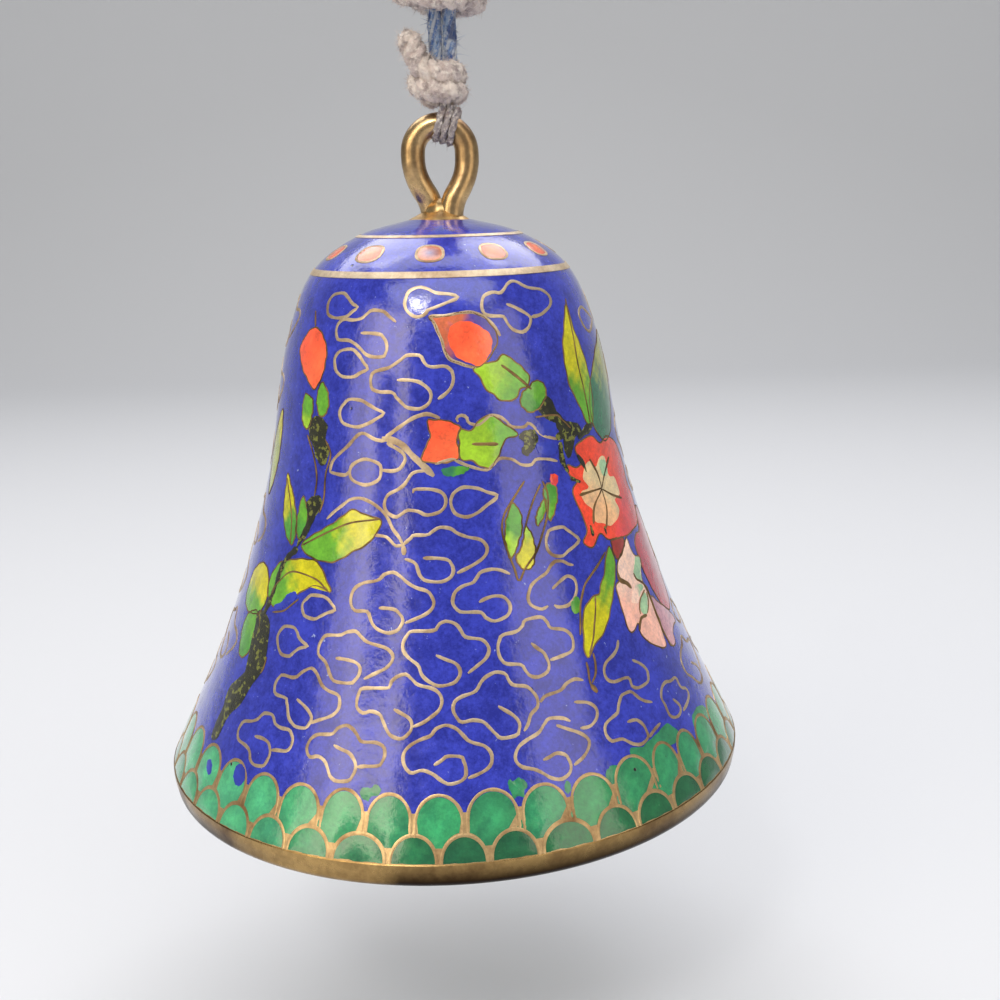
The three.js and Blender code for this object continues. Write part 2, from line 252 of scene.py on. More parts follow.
def joined(parts):
    # several (points, faces, tint) as one
    points, faces, tints, start = [], [], [], 0
    for part in parts:
        points.append(part[0])
        tints.append(part[2])
        faces += [[corner + start for corner in face] for face in part[1]]
        start += len(part[0])
    tint = None if tints[0] is None else np.vstack(tints)
    return np.vstack(points), faces, tint


def enclosed(points, faces):
    # six times the volume that the faces enclose, which is negative where they point inwards
    total = 0.0
    for size in set(map(len, faces)):
        ring = points[np.array([face for face in faces if len(face) == size])]
        for k in range(1, size - 1):
            total += np.einsum("ij,ij->", ring[:, 0], np.cross(ring[:, k], ring[:, k + 1]))
    return total


def addPiece(name, shape, material, body, replaces=(), sharp=35):
    # a mesh in the row frame, in metres, with its faces outwards
    points, faces, tint = shape
    faces = [list(face) for face in faces]
    if enclosed(points, faces) < 0:
        faces = [face[::-1] for face in faces]
    mesh = bpy.data.meshes.new(name)
    mesh.from_pydata((points * mm + (0, 0, mouthZ)).tolist(), [], faces)
    mesh.polygons.foreach_set("use_smooth", np.ones(len(faces), bool))
    mesh.set_sharp_from_angle(angle=math.radians(sharp))
    if tint is not None:
        colour = mesh.color_attributes.new("tint", "FLOAT_COLOR", "POINT")
        colour.data.foreach_set("color", np.column_stack([tint, np.ones(len(tint))]).ravel())
    mesh.materials.append(material)
    piece = bpy.data.objects.new(name, mesh)
    bpy.context.scene.collection.objects.link(piece)
    if body:
        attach(piece, body)
    if replaces:
        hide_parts(*replaces)
    return piece


def tubeFaces(rows, columns):
    # the faces of a row of rings, with a cap on each end
    faces = gridFaces(rows, columns, closedColumns=True).tolist()
    faces.append(list(range(columns))[::-1])
    faces.append([(rows - 1) * columns + k for k in range(columns)])
    return faces


def turnedSolid(section, sides=240):
    # a closed section of radius and height carried once round the axis
    section = np.asarray(section, float)
    angle = np.linspace(0, 2 * math.pi, sides, endpoint=False)[:, None]
    radius, height = section[None, :, 0], section[None, :, 1]
    points = np.stack([radius * np.sin(angle), -radius * np.cos(angle), height + 0 * angle], axis=-1)
    faces = gridFaces(sides, len(section), closedRows=True, closedColumns=True)
    return points.reshape(-1, 3), faces.tolist(), None


def wallSection(low, high, outerDepth, innerDepth, step=0.4):
    # the outline between two lengths along it, at two depths, as one closed section
    along = np.linspace(low, high, max(3, int((high - low) / step)))
    outer = onWall(math.pi / 2, along, -outerDepth)[:, [0, 2]]
    inner = onWall(math.pi / 2, along[::4] if len(along) > 12 else along, -innerDepth)[:, [0, 2]]
    return np.vstack([outer, inner[::-1]])


tackleShift = np.array([0.28, 0, 0])    # the hanger was soldered on a little to the right of the middle


def nodeBox(node):
    # a node's lowest and highest corners, in millimetres above the mouth
    low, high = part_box(node)
    return np.array(low) / mm - (0, 0, mouthZ / mm), np.array(high) / mm - (0, 0, mouthZ / mm)


def sweptTube(path, radius, sides=16, plies=0, lay=3.0, depth=1.0, rough=0.0, roundEnds=False, tints=None):
    # rings square to the path, each turned as little as may be from the last; with plies, a ring goes by
    # depth from a circle to the outline of that many round yarns, which turn once in each lay of the path
    path = np.asarray(path, float)
    count = len(path)
    run = runLength(path)
    tangent = np.gradient(path, axis=0)
    tangent /= np.linalg.norm(tangent, axis=1, keepdims=True)
    side = np.zeros_like(path)
    last = np.cross(tangent[0], (0.3, 0.5, 0.8))
    for k in range(count):
        last = last - tangent[k] * (last @ tangent[k])
        last = last / np.linalg.norm(last)
        side[k] = last
    other = np.cross(tangent, side)
    angle = np.linspace(0, 2 * math.pi, sides, endpoint=False)[None, :]
    thick = np.broadcast_to(np.asarray(radius, float), (count,))[:, None] * np.ones((1, sides))
    tint = None
    if plies:
        turn = angle - (2 * math.pi * run / lay)[:, None]
        part = np.mod(turn, 2 * math.pi / plies) - math.pi / plies
        yarn = math.sin(math.pi / plies) / (1 + math.sin(math.pi / plies))
        off = 1 - yarn
        plied = off * np.cos(part) + np.sqrt(np.maximum(yarn**2 - (off * np.sin(part)) ** 2, 0.002))
        thick = thick * (1 - depth + depth * plied)
        if tints is not None:
            which = np.floor(np.mod(turn, 2 * math.pi) / (2 * math.pi / plies)).astype(int) % len(tints)
            tint = np.asarray(tints)[which].reshape(-1, 3)
    if rough:
        thick = thick + dice.normal(0, rough, thick.shape)
    if roundEnds:
        fromEnd = np.minimum(run, run[-1] - run)[:, None]
        full = np.maximum(thick.mean(), 1e-6)
        thick = thick * np.sqrt(np.clip(1 - (1 - np.clip(fromEnd / full, 0.03, 1)) ** 2, 0, 1))
    points = path[:, None] + thick[..., None] * (
        np.cos(angle)[..., None] * side[:, None] + np.sin(angle)[..., None] * other[:, None]
    )
    return points.reshape(-1, 3), tubeFaces(count, sides), tint


hairForm = {"spread": 0.7, "curl": 0.45, "thick": 0.021, "tip": 0.1, "rings": 4, "sides": 3}


def looseHairs(points, outwards, count, tints, reach, lift):
    # slivers of three sides and three steps that leave the surface aslant and curl; lift is how far
    # they stand up from it
    pick = dice.integers(0, len(points), count)
    lean = outwards[pick] * lift + dice.normal(0, hairForm["spread"], (count, 3))
    lean /= np.linalg.norm(lean, axis=1, keepdims=True)
    curl = dice.normal(0, hairForm["curl"], (count, 3))
    length = dice.uniform(reach[0], reach[1], count)
    rings, sides = hairForm["rings"], hairForm["sides"]
    step = np.linspace(0, 1, rings)[None, :, None]
    spine = points[pick][:, None] + length[:, None, None] * (lean[:, None] * step + curl[:, None] * step**2)
    side = np.cross(lean, (0.4, 0.3, 0.86))
    side /= np.linalg.norm(side, axis=1, keepdims=True)
    other = np.cross(lean, side)
    angle = np.arange(sides) * 2 * math.pi / sides
    corner = np.cos(angle)[None, :, None] * side[:, None] + np.sin(angle)[None, :, None] * other[:, None]
    thin = hairForm["thick"] * (1 + hairForm["tip"] - step)
    hairs = spine[:, :, None] + thin[..., None] * corner[:, None]
    starts = np.arange(count)[:, None] * rings * sides
    first = np.arange(sides)
    faces = (gridFaces(rings, sides, closedColumns=True)[None] + starts[:, :, None]).reshape(-1, 4).tolist()
    faces += (starts + first[::-1]).tolist() + (starts + first + (rings - 1) * sides).tolist()
    tint = np.asarray(tints)[dice.integers(0, len(tints), count)]
    return hairs.reshape(-1, 3), faces, np.repeat(tint, rings * sides, axis=0)


def hairyCord(path, sides, tube, hairs, tints, reach, lift):
    # a tube with loose hairs all over it
    near = np.repeat(path, sides, axis=0)
    outwards = tube[0] - near
    outwards /= np.maximum(np.linalg.norm(outwards, axis=1, keepdims=True), 1e-6)
    return joined([tube, looseHairs(tube[0], outwards, hairs, tints, reach, lift)])


# Cloisons: wires and enamel cells on the wall
def wireStroke(path, width, proud, closed=False, sunk=0.08, wander=0.08, tint=None):
    # a flat-topped arch carried along a path on the wall: high by the root of one minus across to the
    # sixth, a little uneven in width, with drawn-in ends
    reach = radiusAt(path[:, 1])
    flat = np.stack([path[:, 0] * reach, path[:, 1]], axis=1)
    run = runLength(flat)
    if closed:
        tangent = np.roll(flat, -1, axis=0) - np.roll(flat, 1, axis=0)
        tangent[:, 0] = (np.roll(path[:, 0], -1) - np.roll(path[:, 0], 1)) * reach
    else:
        tangent = np.gradient(flat, axis=0)
        tangent[:, 0] = np.gradient(path[:, 0]) * reach
    tangent /= np.linalg.norm(tangent, axis=1, keepdims=True)
    phase = dice.uniform(0, 2 * math.pi, 2)
    half = width / 2 * (1 + wander * np.sin(run * 2.1 + phase[0]) + wander * np.sin(run * 5.3 + phase[1]))
    if not closed:
        ends = np.minimum(run, run[-1] - run)
        half = half * np.sqrt(np.clip(0.25 + ends / width, 0, 1))
    across = np.array([-1.0, -0.88, -0.45, 0.0, 0.45, 0.88, 1.0])
    lift = proud * np.sqrt(np.clip(1 - across**6, 0, 1))
    lift[[0, -1]] = -sunk
    angle = path[:, None, 0] - tangent[:, None, 1] * half[:, None] * across / reach[:, None]
    along = path[:, None, 1] + tangent[:, None, 0] * half[:, None] * across
    points = onWall(angle, along, lift[None, :] + 0 * angle)
    if closed:
        faces = gridFaces(len(path), len(across), closedRows=True, closedColumns=True).tolist()
    else:
        faces = tubeFaces(len(path), len(across))
    count = len(path) * len(across)
    return points.reshape(-1, 3), faces, None if tint is None else np.tile(tint, (count, 1))


def blotches(chart):
    # a smooth uneven pattern over the wall, from -1 to 1, as a sum of crossed waves
    u, v = chart[:, 0] * radiusAt(chart[:, 1]), chart[:, 1]
    waves = 0.45 * np.sin(2.3 * u + 1.7 * v) + 0.35 * np.sin(4.9 * u - 3.7 * v + 1)
    return waves + 0.2 * np.sin(8.3 * u + 9.1 * v + 2)


def enamelCell(outline, middle, inner, outer, edge, dome, rings=6, grade=None, uneven=0.0, sunk=0.08):
    # an outline on the wall shrunk in even rings to its middle, proud by edge at the outline and by
    # edge and dome at the middle, as one minus the ring's share squared; sides and back lie in the wall.
    # grade is each point's share of the way from the inner to the outer colour
    share = (np.arange(rings) + 1) / rings
    chart = middle + share[:, None, None] * (outline[None] - middle)
    proud = edge + dome * (1 - share**2)
    top = onWall(chart[..., 0], chart[..., 1], np.repeat(proud[:, None], len(outline), axis=1))
    back = onWall(outline[:, 0], outline[:, 1], np.full(len(outline), -sunk))
    middleTop = onWall(middle[0], middle[1], edge + dome)
    middleBack = onWall(middle[0], middle[1], -sunk)
    points = np.vstack([top.reshape(-1, 3), back, middleTop[None], middleBack[None]])
    n = len(outline)
    faces = gridFaces(rings + 1, n, closedColumns=True).tolist()
    first, last, centre = np.arange(n), np.arange(n) + rings * n, (rings + 1) * n
    faces += np.column_stack([np.full(n, centre), np.roll(first, -1), first]).tolist()
    faces += np.column_stack([np.full(n, centre + 1), last, np.roll(last, -1)]).tolist()
    charts = np.vstack([chart.reshape(-1, 2), outline, middle[None], middle[None]])
    shares = np.concatenate([np.repeat(share, n), np.ones(n), [0, 0]])
    mix = np.clip(shares if grade is None else grade(charts), 0, 1)[:, None]
    tint = (1 - mix) * np.asarray(inner) + mix * np.asarray(outer)
    tint = tint * (1 + uneven * blotches(charts)[:, None])
    return points, faces, tint


def raggedOutline(corners, step=0.2, ragged=0.06):
    # a smooth closed line through places on the wall, with small waves across it
    scale = np.array([radiusAt(corners[:, 1].mean()), 1.0])
    line = evenPath(smoothPath(corners * scale, 8, True), step, True)
    away = np.roll(line, -1, axis=0) - np.roll(line, 1, axis=0)
    away = np.stack([-away[:, 1], away[:, 0]], axis=1) / np.linalg.norm(away, axis=1, keepdims=True)
    run = 2 * math.pi * np.arange(len(line)) / len(line)
    waves = np.sin(7 * run + dice.uniform(0, 6)) + np.sin(13 * run + dice.uniform(0, 6))
    return (line + away * (waves * ragged / 2)[:, None]) / scale


def paint(red, green, blue):
    # a colour as the eye names it, 0 to 255, made linear
    value = np.array([red, green, blue]) / 255
    return np.where(value <= 0.04045, value / 12.92, ((value + 0.055) / 1.055) ** 2.4)


# Materials
def addNode(tree, kind, inputs=None, **settings):
    made = tree.nodes.new(kind)
    for key, value in settings.items():
        setattr(made, key, value)
    for key, value in (inputs or {}).items():
        if isinstance(value, bpy.types.NodeSocket):
            tree.links.new(value, made.inputs[key])
        else:
            made.inputs[key].default_value = value
    return made


def newFinish(name, **sockets):
    material = bpy.data.materials.new(name)
    material.use_nodes = True
    shader = material.node_tree.nodes["Principled BSDF"]
    for key, value in sockets.items():
        shader.inputs[key.replace("_", " ")].default_value = value
    return material, material.node_tree, shader


def asColour(linear):
    return (*map(float, linear), 1.0)


def rangeOf(tree, value, low, high, newLow, newHigh):
    return addNode(
        tree, "ShaderNodeMapRange",
        {"Value": value, "From Min": low, "From Max": high, "To Min": newLow, "To Max": newHigh},
    ).outputs["Result"]


def mixed(tree, factor, first, second, way="MIX"):
    mix = addNode(tree, "ShaderNodeMix", data_type="RGBA", blend_type=way)
    for key, value in ((0, factor), (6, first), (7, second)):
        if isinstance(value, bpy.types.NodeSocket):
            tree.links.new(value, mix.inputs[key])
        else:
            mix.inputs[key].default_value = value
    return mix.outputs[2]


def maths(tree, way, first, second, **settings):
    return addNode(tree, "ShaderNodeMath", {0: first, 1: second}, operation=way, **settings).outputs[0]


def addBump(tree, shader, height, strength, distance, *sockets):
    bump = addNode(tree, "ShaderNodeBump", {"Height": height, "Strength": strength, "Distance": distance})
    for socket in ("Normal", *sockets):
        tree.links.new(bump.outputs["Normal"], shader.inputs[socket])


def noiseAt(tree, place, scale, detail=3.0, rough=0.5):
    inputs = {"Vector": place, "Scale": scale, "Detail": detail, "Roughness": rough}
    return addNode(tree, "ShaderNodeTexNoise", inputs).outputs["Fac"]


def specksAt(tree, place, scale, size, share):
    # round spots: cells of a scattered pattern, near their middles, in the share of them that a
    # cell's own random number picks
    cell = addNode(tree, "ShaderNodeTexVoronoi", {"Vector": place, "Scale": scale})
    near = rangeOf(tree, cell.outputs["Distance"], size * 0.6, size, 1.0, 0.0)
    pick = addNode(tree, "ShaderNodeSeparateColor", {"Color": cell.outputs["Color"]}).outputs["Red"]
    return maths(tree, "MULTIPLY", near, maths(tree, "GREATER_THAN", pick, 1 - share))


glass = {
    "cloud": 330.0, "blotch": 1100.0, "grain": 3800.0, "ripple": 210.0,     # noise scales, per metre
    "deeper": (0.5, 0.46, 0.34), "lighter": (0.6, 0.5, 0.24),               # how far the mottle goes each way
    "pitScale": 760.0, "pitSize": 0.13, "pit": paint(20, 16, 22),
}


def enamelFinish(name, colour=None, mottle=1.0, pits=0.05, flecks=None, fleck=(150, 166, 216)):
    # fired glass: colour clouded at three scales, a few dark pits, and a polished top; flecks, where the
    # noise of that scale passes that level, take the fleck colour
    material, tree, shader = newFinish(
        name, IOR=1.5, Coat_Weight=0.85, Coat_Roughness=0.03, Coat_IOR=1.5,
    )
    place = addNode(tree, "ShaderNodeTexCoord").outputs["Object"]
    base = addNode(tree, "ShaderNodeAttribute", attribute_name="tint").outputs["Color"]
    if colour is not None:
        base = asColour(colour)
    cloud = noiseAt(tree, place, glass["cloud"], 4.0, 0.6)
    blotch = noiseAt(tree, place, glass["blotch"], 4.0, 0.65)
    grain = noiseAt(tree, place, glass["grain"], 3.0, 0.7)
    sums = maths(tree, "ADD", maths(tree, "ADD", cloud, blotch), grain)
    shade = rangeOf(tree, sums, 1.25, 1.75, 0.0, 1.0)
    deep = asColour(1 - mottle * np.array(glass["deeper"]))
    light = asColour(1 + mottle * np.array(glass["lighter"]))
    toned = mixed(tree, 1.0, base, mixed(tree, shade, deep, light), "MULTIPLY")
    if flecks:
        scale, level = flecks
        pale = rangeOf(tree, noiseAt(tree, place, scale, 3.0, 0.6), level, level + 0.05, 0.0, 1.0)
        toned = mixed(tree, pale, toned, asColour(paint(*fleck)))
    dark = specksAt(tree, place, glass["pitScale"], glass["pitSize"], pits)
    pitted = mixed(tree, dark, toned, asColour(glass["pit"]))
    tree.links.new(pitted, shader.inputs["Base Color"])
    tree.links.new(rangeOf(tree, blotch, 0.3, 0.7, 0.1, 0.28), shader.inputs["Roughness"])
    ripple = noiseAt(tree, place, glass["ripple"], 2.0, 0.5)
    height = maths(tree, "ADD", ripple, maths(tree, "MULTIPLY", blotch, 0.5))
    sink = maths(tree, "SUBTRACT", height, dark)
    addBump(tree, shader, sink, 0.15, 0.0004, "Coat Normal")
    return material


# painted shade on the rim, darker towards the mouth in place of a dark reflection, lifted left of the middle
# as a painted highlight
rimPaintedShade = {
    "colour": paint(36, 24, 15), "low": 0.5, "high": 1.9, "above": 0.32,    # painted shade, darker at the mouth in place of a dark reflection: thins between these heights
    "highlightSpan": (-18.5, -12, -5.8, -3.4), "highlightLeaves": 0.15,   # painted highlight: the painted shade is lifted left of the middle, between these x
}


def metalFinish(name, light, dark, rough, grain=1200.0, metallic=1.0, paintedShade=None):
    # worn metal: the darker tone in clouds, a fine uneven grain, and painted shade and highlight over both
    material, tree, shader = newFinish(name, Metallic=metallic)
    place = addNode(tree, "ShaderNodeTexCoord").outputs["Object"]
    cloud = noiseAt(tree, place, grain * 0.3, 5.0, 0.65)
    fine = noiseAt(tree, place, grain * 3, 4.0, 0.7)
    worn = rangeOf(tree, cloud, 0.42, 0.68, 0.0, 1.0)
    tone = mixed(tree, worn, asColour(light), asColour(dark))
    if paintedShade:
        # painted shade towards the mouth, lifted left of the middle as a painted highlight
        parts = addNode(tree, "ShaderNodeSeparateXYZ", {"Vector": place}).outputs
        low, high = (paintedShade[key] * mm + mouthZ for key in ("low", "high"))
        fade = rangeOf(tree, parts["Z"], low, high, 1.0, paintedShade["above"])
        farStart, farEnd, nearStart, nearEnd = (x * mm for x in paintedShade["highlightSpan"])
        nearSide = rangeOf(tree, parts["X"], nearStart, nearEnd, paintedShade["highlightLeaves"], 1.0)
        farSide = rangeOf(tree, parts["X"], farStart, farEnd, 1.0, paintedShade["highlightLeaves"])
        left = maths(tree, "MULTIPLY", fade, maths(tree, "MAXIMUM", nearSide, farSide))
        tone = mixed(tree, left, tone, asColour(paintedShade["colour"]))
    shade = rangeOf(tree, fine, 0.25, 0.75, 0.8, 1.15)
    grey = addNode(tree, "ShaderNodeCombineColor", {"Red": shade, "Green": shade, "Blue": shade})
    tree.links.new(mixed(tree, 1.0, tone, grey.outputs["Color"], "MULTIPLY"), shader.inputs["Base Color"])
    tree.links.new(rangeOf(tree, cloud, 0.3, 0.7, rough * 0.75, rough * 1.4), shader.inputs["Roughness"])
    addBump(tree, shader, fine, 0.15, 0.0001)
    return material


def cordFinish(name, light, dark, scale=2600.0):
    # spun fibre: yarn colours from the mesh, paler and darker hairs over them, and a soft sheen
    material, tree, shader = newFinish(name, Roughness=0.95, Sheen_Weight=0.3, Sheen_Roughness=0.5)
    place = addNode(tree, "ShaderNodeTexCoord").outputs["Object"]
    base = addNode(tree, "ShaderNodeAttribute", attribute_name="tint").outputs["Color"]
    hairs = noiseAt(tree, place, scale, 6.0, 0.75)
    tufts = noiseAt(tree, place, scale * 0.4, 3.0, 0.6)
    paler = mixed(tree, rangeOf(tree, hairs, 0.48, 0.62, 0.0, 0.9), base, asColour(light))
    darker = mixed(tree, rangeOf(tree, tufts, 0.5, 0.34, 0.0, 0.85), paler, asColour(dark))
    tree.links.new(darker, shader.inputs["Base Color"])
    addBump(tree, shader, hairs, 0.8, 0.0003)
    return material


finishes = {
    "blueEnamel": enamelFinish("blue_enamel", paint(39, 51, 176), flecks=(1700.0, 0.7)),
    "cellEnamel": enamelFinish("cell_enamel", mottle=0.4, pits=0.03),
    "scaleEnamel": enamelFinish("scale_enamel", mottle=0.45, pits=0.06),
    "stemEnamel": enamelFinish("stem_enamel", mottle=0.9, flecks=(1900.0, 0.55), fleck=(112, 116, 46)),
    "counterEnamel": enamelFinish("counter_enamel", paint(52, 120, 160), mottle=0.8),
    "wire": metalFinish("cloison_wire", paint(206, 186, 156), paint(146, 120, 92), 0.42, metallic=0.8),
    "bandWire": metalFinish("band_wire", paint(228, 210, 182), paint(176, 150, 120), 0.42, metallic=0.75),
    "scaleWire": metalFinish("scale_wire", paint(206, 176, 130), paint(140, 108, 74), 0.4, metallic=0.85),
    "dullWire": metalFinish("dull_wire", paint(150, 120, 78), paint(78, 58, 36), 0.45, metallic=0.75),
    "rim": metalFinish("rim_brass", paint(190, 156, 100), paint(112, 84, 54), 0.28, 700.0,
                       paintedShade=rimPaintedShade),
    "ball": metalFinish("ball_brass", paint(196, 158, 104), paint(130, 94, 58), 0.36, 700.0),
    "hanger": metalFinish("hanger_brass", paint(200, 170, 124), paint(118, 88, 62), 0.28, 700.0),
    "solder": metalFinish("gilt_solder", paint(216, 186, 130), paint(150, 112, 74), 0.34, 1400.0),
    "copper": metalFinish("spun_copper", paint(190, 120, 84), paint(110, 66, 46), 0.4, 500.0),
    "paleCord": cordFinish("pale_cord", paint(248, 241, 234), paint(136, 119, 119)),
    "blueCord": cordFinish("blue_cord", paint(206, 214, 226), paint(48, 70, 128)),
}
print("finishes mixed:", len(finishes))


# Cords: the blue hanging cord, its two knots and the bights round the hanger
hangingCord = {
    # from inside the lower knot up the left strand, through the upper knot, round the hanging loop
    # and back down the right strand; metres in the row frame
    "route": [
        (-0.00058, 0, -0.0202), (-0.0006, 0, -0.0190), (-0.0006, 0, -0.0178), (-0.0006, 0, -0.0166),
        (-0.0006, 0, -0.0154), (-0.0006, 0, -0.0142), (-0.00062, 0, -0.0130), (-0.0007, 0, -0.0120),
        (-0.00085, 0, -0.0110), (-0.00095, 0, -0.0100), (-0.0014, 0, -0.0078), (-0.0022, 0, -0.0048),
        (-0.00265, 0, -0.0020), (-0.00245, 0, -0.00099), (-0.00187, 0, -0.00013), (-0.00101, 0, 0.00045),
        (0, 0, 0.00065),
    ],
    "lean": 0.00085, "leanFrom": -0.0075, "leanTo": -0.0125,   # both strands run aslant to the right below
    "diameter": 0.00115, "plies": 10, "lay": 9.0, "depth": 1.0, "rough": 0.016, "sides": 50,
    "step": 0.0002, "hairs": 1200, "hairReach": (0.3, 0.8), "hairLift": 0.3,
    "yarns": [paint(112, 148, 206), paint(186, 196, 214), paint(84, 122, 190), paint(150, 176, 214),
              paint(206, 208, 214), paint(70, 100, 168)],
}
paleYarns = [paint(226, 211, 205), paint(208, 193, 190), paint(238, 226, 218)]
# painted shade: darker copies of the pale yarns, for the bights that hang in shade under the lower knot
shadedYarns = [paint(142, 134, 140), paint(126, 120, 130), paint(160, 152, 154)]
softSharp = 80      # edges of yarn and hair sharper than this many degrees stay crisp
knotCord = {
    "plies": 3, "lay": 3.0, "depth": 0.36, "rough": 0.045, "sides": 40, "step": 0.13,
    "hairs": 5200, "hairReach": (0.15, 0.5), "hairLift": 0.4,
}
lowerKnot = {
    "bottom": nodeBox("bight_left")[1][2] + 0.55,
    "radius": 1.5, "tight": 1.5, "inside": 0, "cord": 2.05, "pitch": 1.4, "core": 1.8,
    "tuck": [(-1.3, 1.0, -0.4), (-0.7, 0.5, -0.2)],
    "tail": [(-1.1, 0.1, 0.5), (-1.7, 0.2, 1.7), (-2.4, 0.2, 3.35)],
    "aside": 0.0,
}
upperKnot = {
    "bottom": nodeBox("strand_left_upper")[1][2] - 1.7,
    "radius": 2.95, "tight": 1.4, "inside": 3, "cord": 2.2, "pitch": 1.7, "core": 2.0,
    "tuck": [(0.8, 0.7, 0.3), (0.5, 0.3, 0.2)],
    "tail": [(-1.8, 0.0, 0.3), (-3.6, 0.0, 0.6)],
    "aside": 0.35,
}
bights = {
    "cord": 0.62, "spacing": 0.6, "lean": 0.301,
    "loopRadius": 2.3, "wire": 1.0, "nodeWire": 0.925,      # radii of the hanger's loop and wire
    "clear": 0.06, "above": 0.55, "inwards": 0.2,
    "plies": 3, "lay": 3.2, "depth": 0.8, "rough": 0.012, "sides": 16, "step": 0.12,
    "hairs": 160, "hairReach": (0.15, 0.4), "hairLift": 0.4,
}


def makeHangingCord():
    half = np.array(hangingCord["route"])
    points = np.vstack([half, half[:-1][::-1] * (-1, 1, 1)])
    way = (points[:, 2] - hangingCord["leanFrom"]) / (hangingCord["leanTo"] - hangingCord["leanFrom"])
    way = np.clip(way, 0, 1)
    points[:, 0] += hangingCord["lean"] * way**2 * (3 - 2 * way)
    route = evenPath(smoothPath(points), hangingCord["step"])
    path = route / mm - (0, 0, mouthZ / mm)
    sides, yarns = hangingCord["sides"], hangingCord["yarns"]
    tube = sweptTube(
        path, hangingCord["diameter"] / mm / 2, sides, hangingCord["plies"], hangingCord["lay"],
        hangingCord["depth"], hangingCord["rough"], tints=yarns,
    )
    shape = hairyCord(
        path, sides, tube, hangingCord["hairs"], yarns, hangingCord["hairReach"], hangingCord["hairLift"],
    )
    piece = addPiece(
        "hanging_cord", shape, finishes["blueCord"], None,
        ("strand_left_lower", "strand_right_lower", "strand_left_upper", "strand_right_upper",
         "hanging_loop"), softSharp,
    )
    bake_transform(piece)
    return piece, route


def knotPath(knot):
    # level half turn from the back to the front, a half turn that climbs, a level one to the front again,
    # with the straight runs at both ends; a wide knot starts with tight half turns inside these
    halfTurn = np.linspace(-knot["inside"], 3, 6 * (3 + knot["inside"]) + 1)
    angle = math.pi / 2 - math.pi * halfTurn
    reach = knot["radius"] - (knot["radius"] - knot["tight"]) * np.clip(0.5 - halfTurn, 0, 1)
    climb = np.clip(halfTurn - 1, 0, 1) + 0.6 * np.clip(-halfTurn, 0, 1)
    height = knot["bottom"] + knot["core"] / 2 + knot["pitch"] * climb
    turns = np.stack([reach * np.cos(angle), reach * np.sin(angle), height], axis=1)
    return np.vstack([turns[0] + knot["tuck"], turns, turns[-1] + knot["tail"]])


def makeKnot(name, knot, body, node):
    path = evenPath(smoothPath(knotPath(knot) + tackleShift + (knot["aside"], 0, 0)), knotCord["step"])
    sides, hairs = knotCord["sides"], knotCord["hairs"]
    tube = sweptTube(
        path, knot["cord"] / 2, sides, knotCord["plies"], knotCord["lay"], knotCord["depth"],
        knotCord["rough"], roundEnds=True, tints=paleYarns,
    )
    shape = hairyCord(path, sides, tube, hairs, paleYarns, knotCord["hairReach"], knotCord["hairLift"])
    return addPiece(name, shape, finishes["paleCord"], body, (node,), softSharp)


def makeBights():
    # three thin cords side by side round the hanger's wire, leaning with it
    loopRadius, inwards, sides = bights["loopRadius"], bights["inwards"], bights["sides"]
    centre = nodeBox("hanger_loop")[1][2] - bights["nodeWire"] - loopRadius
    turn = np.radians(np.linspace(0, -180, 17))
    ring = bights["wire"] + bights["clear"] + bights["cord"] / 2
    lowest = np.stack([0 * turn, ring * np.cos(turn), loopRadius + ring * np.sin(turn)], axis=1)
    top = loopRadius + bights["wire"] + bights["above"]
    loop = np.vstack([[0, ring - inwards, top], lowest, [0, inwards - ring, top]])
    c, s = math.cos(bights["lean"]), math.sin(bights["lean"])
    strands = []
    for place in (-1, 0, 1):
        x, y, z = (loop + (place * bights["spacing"], 0, 0)).T
        leaning = np.stack([x * c + z * s, y, z * c - x * s], axis=1)
        even = evenPath(smoothPath(leaning + tackleShift + (0, 0, centre)), bights["step"])
        tube = sweptTube(
            even, bights["cord"] / 2, sides, bights["plies"], bights["lay"], bights["depth"],
            bights["rough"], tints=shadedYarns,
        )
        strands.append(hairyCord(
            even, sides, tube, bights["hairs"], shadedYarns, bights["hairReach"], bights["hairLift"],
        ))
    return addPiece(
        "bight_cords", joined(strands), finishes["paleCord"], "cord_drop",
        ("bight_left", "bight_right"), softSharp,
    )


cordPiece, cordRoute = makeHangingCord()
knotPieces = [
    makeKnot("lower_cord_knot", lowerKnot, "cord_drop", "lower_knot"),
    makeKnot("upper_cord_knot", upperKnot, "cord_top", "upper_knot"),
    makeBights(),
]


# The bell's wall: shell and enamel skins
layers = {
    "groundFrom": 0.05, "crownProud": 0.06, "capProud": 0.05, "skinStep": 0.35, "bandStep": 0.1,
    "counterShort": 2.6,        # how far below its node's top the inner skin's outline ends
}


